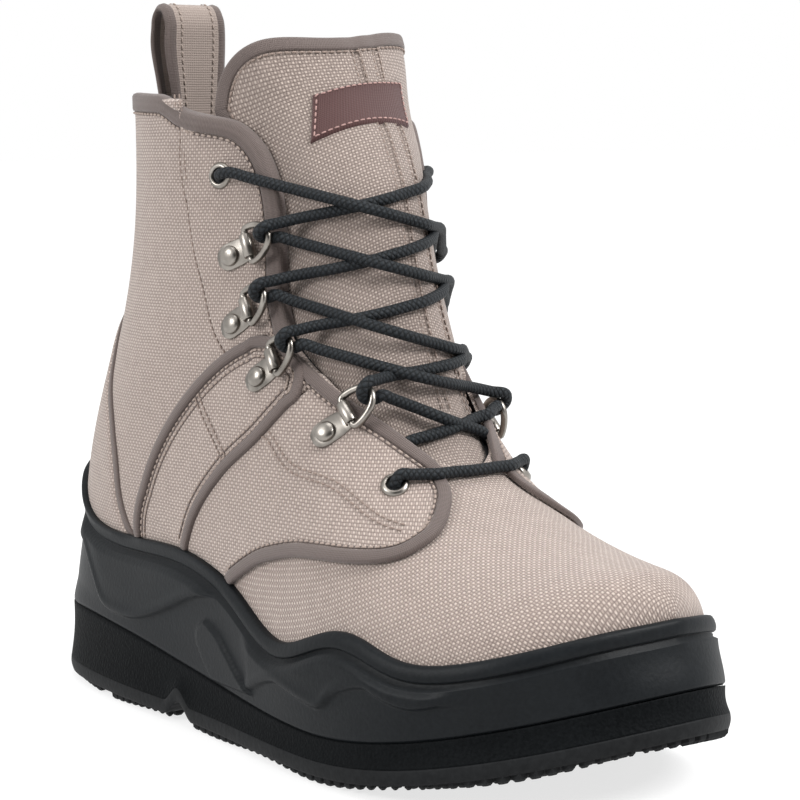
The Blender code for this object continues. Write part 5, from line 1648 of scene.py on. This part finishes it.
def block(heap, x, y, half, lift_low, lift_high):
    """Small square block of tread, its lower edges bevelled."""
    taper = 0.86
    bevel = 0.0006
    rings = []
    for size, lift in ((half, lift_high), (half * blend(taper, 1.0, 0.3), lift_low + bevel * 1.4),
                       (half * taper - bevel, lift_low)):
        ring = []
        cut = 0.16 * size
        for side_x, side_y in ((-1, -1), (1, -1), (1, 1), (-1, 1)):
            ends = [(side_x * size, side_y * (size - cut)), (side_x * (size - cut), side_y * size)]
            if (side_x > 0) != (side_y > 0):
                ends = ends[::-1]
            for dx, dy in ends:
                along = (HEEL_REST - (y + dy)) / SOLE_LENGTH
                ring.append((x + dx, y + dy, float(floor_rise(along)) + lift))
        rings.append(ring)
    points = [point for ring in rings for point in ring]
    faces = grid_faces(3, 8, closed=True)
    faces.append(tuple(16 + step for step in range(8)))
    heap.add(points, faces)


def build_sole():
    band("foam_midsole", FOAM, "sole_foam", "midsole", tread_top, seam_height, TREAD_FLARE, 0.0, 14, 0.0006)
    under = lambda along: floor_rise(along) + LUG_HEIGHT + notch(along)
    band("tread_edge", TREAD, "tread_rubber", "outsole", under, tread_top,
         TREAD_FLARE - 0.0004, TREAD_FLARE, 8, -0.0004)
    count = 260
    places = np.linspace(0.0, 0.5, count)
    first, first_normal, _ = outline_at(places)
    second, second_normal, _ = outline_at((1.0 - places) % 1.0)
    first = first + first_normal * (TREAD_FLARE - 0.0004)
    second = second + second_normal * (TREAD_FLARE - 0.0004)
    steps = 28
    share = np.linspace(0.0, 1.0, steps)[None, :, None]
    flat = first[:, None, :] * (1.0 - share) + second[:, None, :] * share
    height = under(station(flat))
    grid = np.concatenate([flat, height[..., None]], axis=-1)
    item = add_mesh("tread_floor", grid.reshape(-1, 3), grid_faces(count, steps), TREAD)
    face_towards(item, (0.0, 0.0, -1.0))
    finish_piece(item, "tread_rubber", "outsole")
    lugs = Heap()
    nubs = Heap()
    centres = lug_places()
    for x, y in centres:
        block(lugs, x, y, LUG_SIZE / 2.0, 0.0, LUG_HEIGHT + 0.0004)
    rim = 0
    for offset, pitch in ((-0.0012, 0.0050), (-0.0064, 0.0056), (-0.0120, 0.0060)):
        fine, ways, _ = outline_at(np.linspace(0.0, 1.0, 2001))
        fine = fine + ways * offset
        run = run_of(fine)
        for place in np.arange(0.0, run[-1], pitch):
            rim += 1
            jitter = math.sin(rim * 12.9898) * 0.5 + 0.5
            x = float(np.interp(place + 0.0012 * jitter, run, fine[:, 0]))
            y = float(np.interp(place + 0.0012 * jitter, run, fine[:, 1]))
            near_notch = abs((HEEL_REST - y) / SOLE_LENGTH - NOTCH_PLACE) * SOLE_LENGTH
            if near_notch < 0.5 * NOTCH_WIDTH:
                continue
            if any(abs(x - cx) < LUG_SIZE / 2.0 + 0.0018 and abs(y - cy) < LUG_SIZE / 2.0 + 0.0018
                   for cx, cy in centres):
                continue
            if offset < -0.002 and jitter < 0.25:
                continue
            block(nubs, x, y, 0.0011 + 0.0008 * jitter, 0.0002 + 0.0009 * (1.0 - jitter),
                  LUG_HEIGHT + 0.0004)
    for heap, name in ((lugs, "tread_lugs"), (nubs, "tread_nubs")):
        item = heap.make(name, TREAD, smooth=False)
        turn_faces_out(item)
        finish_piece(item, "tread_rubber", "outsole")


build_sole()


def build_insole():
    count = 200
    points, normals, _ = outline_at(np.arange(count) / count)
    inset = 0.0125
    rim = points - normals * inset
    grid = []
    centre = rim.mean(axis=0)
    for share in (1.0, 0.985, 0.7, 0.35, 0.02):
        spot = centre + (rim - centre) * share
        height = seam_height(station(spot)) + 0.0076 + 0.0022 * share ** 6
        grid.append(np.concatenate([spot, height[:, None]], axis=1))
    grid = np.stack(grid, axis=0)
    item = add_mesh("footbed", grid.reshape(-1, 3), grid_faces(len(grid), count, closed=True), LINING)
    turn_faces_out(item)
    finish_piece(item, "lining", "insole")


build_insole()


# Lacing hardware
EYELET_HOLE = 0.0026
EYELET_FLANGE = 0.0047
RING_WIRE = 0.00120
RING_WIDTH = 0.0146
RING_REACH = 0.0112
RING_TILT = math.radians(14)
CLIP_WIDTH = 0.0094
CLIP_REACH = 0.0095
CLIP_METAL = 0.0008
RIVET_RADIUS = 0.0036
BAR_HEIGHT = RING_WIRE + 0.0006 + CLIP_METAL + 0.0004


def frame_matrix(place, first, second, third):
    return Matrix((
        (first[0], second[0], third[0], place[0]),
        (first[1], second[1], third[1], place[1]),
        (first[2], second[2], third[2], place[2]),
        (0.0, 0.0, 0.0, 1.0)))


def ring_turn(part, key, side):
    return side_turn(part[key] - (0.0 if side > 0 else INNER_BACK), side)


def clip_frame(part, side):
    turns = [ring_turn(part, key, side) for key in ("rivet_turn", "ring_turn")]
    rivet, _ = on_cloth([part["rivet_row"]], [turns[0]])
    ring, _ = on_cloth([part["ring_row"]], [turns[1]])
    rivet, ring = rivet[0], ring[0]
    row = blend(part["rivet_row"], part["ring_row"], 0.45)
    turn = blend(turns[0], turns[1], 0.45)
    normal = last_normals(row, turn)
    forward = ring - rivet
    forward = unit(forward - normal * np.dot(forward, normal))
    over = np.cross(normal, forward)
    place = rivet + normal * 0.0001
    for x in (-0.4, 0.0, 0.35, 0.7, 1.0):
        for y in (-1.0, 0.0, 1.0):
            start = place + forward * x * CLIP_REACH + over * y * CLIP_WIDTH / 2.0
            hit = CLOTH_TREE.ray_cast(Vector(start + normal * 0.008), Vector(-normal), 0.016)
            if hit[3] is not None:
                place = place + normal * max(0.0, 0.008 - hit[3] - 0.0003)
    return frame_matrix(place, forward, over, normal)


def moved(matrix, points):
    points = np.asarray(points, float)
    turn = np.array(matrix.to_3x3())
    return points @ turn.T + np.array(matrix.translation)


def lathe(heap, matrix, profile, sides=28):
    points = []
    for step in range(sides):
        angle = 2.0 * math.pi * step / sides
        for radius, height in profile:
            points.append((radius * math.cos(angle), radius * math.sin(angle), height))
    heap.add(moved(matrix, points), hoop_faces(sides, len(profile)))


def clip_plate(heap, matrix):
    """Plate with rounded shoulders whose front edge curls round the ring's bar."""
    inner = RING_WIRE + 0.0002
    back = -(RIVET_RADIUS + 0.0018)
    line = [(back, 0.0, 0.30), (back + 0.0004, 0.0, 0.52), (back + 0.0012, 0.0, 0.72),
            (back + 0.0026, 0.0, 0.92), (back + 0.0042, 0.0, 1.0), (0.4 * CLIP_REACH, 0.0, 1.0),
            (CLIP_REACH - 0.0036, 0.0, 0.94), (CLIP_REACH - 0.0022, 0.0, 0.88)]
    for angle in range(-90, 200, 20):
        middle = inner + 0.5 * CLIP_METAL
        line.append((CLIP_REACH + middle * math.cos(math.radians(angle)),
                     BAR_HEIGHT + middle * math.sin(math.radians(angle)) - 0.5 * CLIP_METAL, 0.86))
    line = np.array(line)
    centre = line[:, :2] + np.array([0.0, 0.5 * CLIP_METAL])
    way = unit(np.gradient(centre, axis=0))
    normal = np.stack([-way[:, 1], way[:, 0]], axis=1)
    half = CLIP_WIDTH / 2.0
    soft = 0.00022
    section = ((-1.0, -0.5 + 0.25), (-1.0, 0.5 - 0.25), (-1.0 + soft / half * 1.4, 0.5),
               (1.0 - soft / half * 1.4, 0.5), (1.0, 0.5 - 0.25), (1.0, -0.5 + 0.25),
               (1.0 - soft / half * 1.4, -0.5), (-1.0 + soft / half * 1.4, -0.5))
    points = []
    for index in range(len(line)):
        for across, level in section:
            spot = centre[index] + normal[index] * level * CLIP_METAL
            points.append((spot[0], across * half * line[index, 2], spot[1]))
    count = len(section)
    faces = grid_faces(len(line), count, closed=True)
    faces.append(tuple(range(count)))
    faces.append(tuple(reversed(range((len(line) - 1) * count, len(line) * count))))
    heap.add(moved(matrix, points), faces)


RIVET_PROFILE = ((RIVET_RADIUS, CLIP_METAL - 0.0002), (RIVET_RADIUS, CLIP_METAL - 0.0002),
                 (RIVET_RADIUS, CLIP_METAL + 0.0007), (RIVET_RADIUS * 0.97, CLIP_METAL + 0.0010),
                 (RIVET_RADIUS * 0.88, CLIP_METAL + 0.0014), (RIVET_RADIUS * 0.70, CLIP_METAL + 0.0018),
                 (RIVET_RADIUS * 0.45, CLIP_METAL + 0.0021), (RIVET_RADIUS * 0.20, CLIP_METAL + 0.0022),
                 (0.00001, CLIP_METAL + 0.0022))


def ring_line():
    half = RING_WIDTH / 2.0 - RING_WIRE
    corner = 0.0014
    line = []
    for share in np.linspace(-1.0, 1.0, 9):
        line.append((0.0, share * (half - corner)))
    for angle in (20, 50, 80):
        line.append((corner - corner * math.cos(math.radians(angle)),
                     half - corner + corner * math.sin(math.radians(angle))))
    for step in range(0, 25):
        angle = math.pi / 2.0 - math.pi * step / 24.0
        line.append((corner + (RING_REACH - corner) * math.cos(angle), half * math.sin(angle)))
    for angle in (80, 50, 20):
        line.append((corner - corner * math.cos(math.radians(angle)),
                     -half + corner - corner * math.sin(math.radians(angle))))
    return np.array(line)


def ring_wire(heap, matrix):
    sides = 12
    line = ring_line()
    count = len(line)
    way = unit(np.roll(line, -1, axis=0) - np.roll(line, 1, axis=0))
    points = []
    for index in range(count):
        side = np.array([way[index, 1], -way[index, 0]])
        for step in range(sides):
            angle = 2.0 * math.pi * step / sides
            spot = line[index] + side * math.cos(angle) * RING_WIRE
            points.append((spot[0], spot[1], math.sin(angle) * RING_WIRE))
    faces = []
    for index in range(count):
        after = (index + 1) % count
        for step in range(sides):
            beside = (step + 1) % sides
            faces.append((index * sides + step, index * sides + beside,
                          after * sides + beside, after * sides + step))
    heap.add(moved(matrix, points), faces)


def ring_matrix(matrix):
    return matrix @ Matrix.Translation((CLIP_REACH, 0.0, BAR_HEIGHT)) \
        @ Matrix.Rotation(-RING_TILT, 4, "Y")


EYELET_PROFILE = ((EYELET_HOLE, -0.0035), (EYELET_HOLE, 0.0006), (EYELET_HOLE + 0.0002, 0.0010),
                  (EYELET_HOLE + 0.0006, 0.0013), (EYELET_HOLE + 0.0011, 0.0013),
                  (EYELET_FLANGE - 0.0004, 0.0008), (EYELET_FLANGE, 0.0003), (EYELET_FLANGE, -0.0004))


def spot_matrix(row, turn):
    place, normal = on_cloth([row], [turn])
    place, normal = place[0], normal[0]
    way = unit(last_points(row + 0.05, turn) - last_points(row - 0.05, turn))
    across = unit(np.cross(way, normal))
    return frame_matrix(place, across, np.cross(normal, across), normal)


RING_PARTS = [dict(zip(RING_COLUMNS, ring)) for ring in RINGS]
CLIPS = {}


def build_hardware():
    for side_name, side in (("outer", 1), ("inner", -1)):
        for index, part in enumerate(RING_PARTS):
            matrix = clip_frame(part, side)
            CLIPS[side, index] = matrix
            clip = Heap()
            clip_plate(clip, matrix)
            lathe(clip, matrix, RIVET_PROFILE[1:])
            item = clip.make(f"{side_name}_clip_plate_{index + 1}", NICKEL)
            turn_faces_out(item)
            finish_piece(item, "nickel", f"{side_name}_clip_{index + 1}")
            ring = Heap()
            ring_wire(ring, ring_matrix(matrix))
            item = ring.make(f"{side_name}_d_ring_{index + 1}", NICKEL)
            turn_faces_out(item)
            finish_piece(item, "nickel", f"{side_name}_ring_{index + 1}")
        for place_name, spot in (("top", TOP_EYELET), ("low", LOW_EYELET)):
            matrix = spot_matrix(spot[0], side_turn(spot[1], side))
            eyelet = Heap()
            lathe(eyelet, matrix, EYELET_PROFILE)
            item = eyelet.make(f"{side_name}_eyelet_rim_{place_name}", NICKEL)
            turn_faces_out(item)
            finish_piece(item, "nickel", f"{side_name}_eyelet_{place_name}")
            # A flat dark disc fills the eyelet's hole: painted shade, as the cloth under it is not cut
            # through.
            dark = Heap()
            lathe(dark, matrix, ((0.00001, 0.00035), (EYELET_HOLE + 0.0001, 0.0003)), 20)
            item = dark.make(f"{side_name}_eyelet_shade_disc_{place_name}", PAINTED_HOLE_SHADE)
            finish_piece(item, "lining")


build_hardware()


# Lace
FACES_TREE = tree_from(UPPER, TONGUE, *PANELS)
OUT_WAY = unit(np.array((-0.42, -0.90, -0.02)))
INNER_LOOK = unit(np.array((0.60, 0.80, -0.10)))


def ring_turn_points(side, index, spread):
    """Points of the lace round a ring's bow, from above it to below it."""
    matrix = ring_matrix(CLIPS[side, index])
    turn = np.array(matrix.to_3x3())
    forward, over, up = turn[:, 0], turn[:, 1], turn[:, 2]
    bow = moved(matrix, [(RING_REACH, 0.0, 0.0)])[0]
    radius = LACE / 2.0 + RING_WIRE + 0.0001
    down = over * (-1.0 if np.dot(over, (0.0, 0.0, 1.0)) > 0.0 else 1.0)
    out = []
    for angle in (62, 110, 180, 250, 298):
        around = math.radians(angle)
        share = (angle - 180.0) / 118.0
        out.append(bow + forward * math.cos(around) * radius + up * math.sin(around) * radius
                   + down * share * spread)
    return out


def inner_turning(row):
    """Point of the lace where the cloth turns away to the inner side, and the way out there."""
    turns = np.linspace(0.52, 0.72, 60)
    normals = last_normals(np.full(60, row), turns)
    place = int(np.argmin(np.abs(normals @ INNER_LOOK)))
    point = last_points(row, turns[place])
    normal = normals[place]
    hit = FACES_TREE.ray_cast(Vector(point + normal * 0.03), Vector(-normal), 0.06)
    rise = 0.03 - hit[3] if hit[3] is not None else 0.0
    return point + normal * (rise + LACE / 2.0 + 0.0002), normal


def span(start, end, raised, count=11, way=OUT_WAY):
    """Taut lace from start to end: straight, but held off the cloth that bulges in its way."""
    start = np.asarray(start, float)
    end = np.asarray(end, float)
    out = []
    for share in np.linspace(0.0, 1.0, count + 2)[1:-1]:
        point = blend(start, end, share)
        out.append(held_off(point, way))
    out = np.array(out)
    for _ in range(3):
        padded = np.concatenate([[start], out, [end]])
        smooth = 0.25 * padded[:-2] + 0.5 * padded[1:-1] + 0.25 * padded[2:]
        out = np.array([held_off(point, way) for point in smooth])
    shares = np.linspace(0.0, 1.0, count + 2)[1:-1]
    bow = raised * np.exp(-((shares - 0.5) / 0.17) ** 2)
    return list(out + OUT_WAY * bow[:, None])


def held_off(point, way):
    """The point, moved out along the way if it is too near the cloth or inside it."""
    away = 0.060
    hit = FACES_TREE.ray_cast(Vector(point + way * away), Vector(-way), 2.0 * away)
    if hit[3] is None:
        return point
    slant = max(0.45, abs(float(np.dot(np.array(hit[1]), way))))
    needed = away - hit[3] + (LACE / 2.0 + 0.0002) / slant
    return point + way * max(0.0, needed)


def eyelet_points(spot, side, towards):
    matrix = spot_matrix(spot[0], side_turn(spot[1], side))
    place = np.array(matrix.translation)
    normal = np.array(matrix.to_3x3())[:, 2]
    way = towards - place
    way = unit(way - normal * np.dot(way, normal))
    return [place - normal * 0.0030 - way * 0.0004, place + normal * 0.0008 + way * 0.0002,
            place + normal * 0.0031 + way * 0.0026, place + normal * 0.0036 + way * 0.0062]


def build_lace():
    heap = Heap()
    middle = last_points(15.0, 0.5)
    for first in (1, -1):
        side = first
        points = eyelet_points(TOP_EYELET, side, middle)
        for index in range(len(RING_PARTS)):
            side = -side
            turn = ring_turn_points(side, index, 0.0017)
            raised = LACE + 0.0002 if (first > 0) == (index % 2 == 0) else 0.0
            if side < 0 and index < 3:
                pivot, way = inner_turning(RING_PARTS[index]["ring_row"] - 0.85)
                spread = unit(turn[0] - turn[-1]) * 0.0019
                points += span(points[-1], pivot + spread, raised) + [pivot + spread]
                points += span(points[-1], turn[0], 0.0, 3, way) + turn
                points += span(turn[-1], pivot - spread, 0.0, 3, way) + [pivot - spread]
                continue
            points += span(points[-1], turn[0], raised)
            points += turn
        low = skin(8.75, side_turn(0.446, -side), 0.0002)
        raised = LACE if first > 0 else 0.0
        points += span(points[-1], low, raised)[:-2]
        points.append(skin(8.72, side_turn(0.444, -side), -0.0002))
        points.append(skin(8.62, side_turn(0.430, -side), -0.0012))
        tube(heap, spaced_line(points), LACE / 2.0, 14)
    centre = last_points(LOW_EYELET[0], 0.5)
    points = eyelet_points(LOW_EYELET, 1, centre)[:3]
    last = eyelet_points(LOW_EYELET, -1, centre)[:3][::-1]
    points += span(points[-1], last[0], 0.0) + last
    tube(heap, spaced_line(points), LACE / 2.0, 14)
    item = heap.make("lace_cords", CORD)
    turn_faces_out(item)
    finish_piece(item, "lace_cord", "lace")


def spaced_line(points):
    """A smooth line through unevenly spaced points."""
    spacing = 0.0009
    points = np.asarray(points, float)
    run = run_of(points)
    keep = np.concatenate([[True], np.diff(run) > 1e-5])
    points, run = points[keep], run[keep]
    count = int(run[-1] / spacing)
    wanted = np.linspace(0.0, run[-1], count)
    way = np.gradient(points, run, axis=0)
    index = np.clip(np.searchsorted(run, wanted, side="right") - 1, 0, len(run) - 2)
    size = (run[index + 1] - run[index])[:, None]
    share = (wanted - run[index])[:, None] / size
    rest = 1.0 - share
    out = points[index] * (1.0 + 2.0 * share) * rest * rest + way[index] * size * share * rest * rest
    out = out + points[index + 1] * (3.0 - 2.0 * share) * share * share
    return out - way[index + 1] * size * share * share * rest


build_lace()


# Stage, lights and camera
def build_stage():
    size = 30.0
    mesh = bpy.data.meshes.new("floor")
    mesh.from_pydata([(-size, -size, 0.0), (size, -size, 0.0), (size, size, 0.0), (-size, size, 0.0)],
                     [], [(0, 1, 2, 3)])
    floor = bpy.data.objects.new("floor", mesh)
    bpy.context.scene.collection.objects.link(floor)
    material, _, shader = new_material("floor_white")
    shader.inputs["Base Color"].default_value = (0.30, 0.30, 0.30, 1.0)
    shader.inputs["Roughness"].default_value = 1.0
    shader.inputs["Specular IOR Level"].default_value = 0.0
    shader.inputs["Emission Color"].default_value = (1.0, 1.0, 1.0, 1.0)
    shader.inputs["Emission Strength"].default_value = 0.74
    mesh.materials.append(material)


def add_light(name, place, target, size, energy):
    data = bpy.data.lights.new(name, "AREA")
    data.shape = "SQUARE"
    data.size = size
    data.energy = energy
    item = bpy.data.objects.new(name, data)
    item.location = place
    item.rotation_euler = (Vector(target) - Vector(place)).to_track_quat("-Z", "Y").to_euler()
    bpy.context.scene.collection.objects.link(item)


def build_world():
    world = bpy.data.worlds.new("studio")
    bpy.context.scene.world = world
    world.use_nodes = True
    tree = world.node_tree
    background = tree.nodes["Background"]
    background.inputs["Color"].default_value = (1.0, 1.0, 1.0, 1.0)
    background.inputs["Strength"].default_value = 1.0


CAMERA_AZIMUTH = math.radians(-38.98)
CAMERA_HEIGHT = math.radians(6.07)
CAMERA_ROLL = math.radians(-0.69)
CAMERA_AWAY = 0.8515
CAMERA_FOCUS = 2419.6
CAMERA_TARGET = Vector((0.02087, -0.112, 0.11149))
PICTURE = 800.0


def build_camera():
    back = Vector((math.sin(CAMERA_AZIMUTH) * math.cos(CAMERA_HEIGHT),
                   -math.cos(CAMERA_AZIMUTH) * math.cos(CAMERA_HEIGHT), math.sin(CAMERA_HEIGHT)))
    right = (-back).cross(Vector((0.0, 0.0, 1.0))).normalized()
    up = right.cross(-back)
    cosine, sine = math.cos(CAMERA_ROLL), math.sin(CAMERA_ROLL)
    turned_right = right * cosine + up * sine
    turned_up = up * cosine - right * sine
    place = CAMERA_TARGET + back * CAMERA_AWAY
    data = bpy.data.cameras.new("camera")
    data.sensor_width = 36.0
    data.lens = CAMERA_FOCUS * 36.0 / PICTURE
    data.clip_start = 0.01
    data.clip_end = 100.0
    camera = bpy.data.objects.new("camera", data)
    camera.matrix_world = frame_matrix(place, turned_right, turned_up, back)
    bpy.context.scene.collection.objects.link(camera)
    bpy.context.scene.camera = camera


def build_flag(name, corners):
    """Black card out of view that keeps the light off one side, as in a photo studio."""
    mesh = bpy.data.meshes.new(name)
    mesh.from_pydata(corners, [], [(0, 1, 2, 3)])
    item = bpy.data.objects.new(name, mesh)
    bpy.context.scene.collection.objects.link(item)
    material, _, shader = new_material(name + "_black")
    shader.inputs["Base Color"].default_value = (0.01, 0.01, 0.01, 1.0)
    shader.inputs["Specular IOR Level"].default_value = 0.0
    mesh.materials.append(material)


build_stage()
build_world()
build_flag("front_flag", [(-1.6, -1.0, 0.0), (0.0, -1.9, 0.0), (0.0, -1.9, 1.4), (-1.6, -1.0, 1.4)])
add_light("key", (0.7, -1.9, 1.7), (0.0, -0.1, 0.1), 0.9, 60.0)
add_light("side", (-2.1, 0.3, 1.3), (0.0, -0.1, 0.12), 0.8, 32.0)
add_light("top", (0.1, -0.2, 2.4), (0.0, -0.1, 0.0), 1.2, 16.0)
build_camera()
bpy.context.scene.view_settings.view_transform = "Standard"
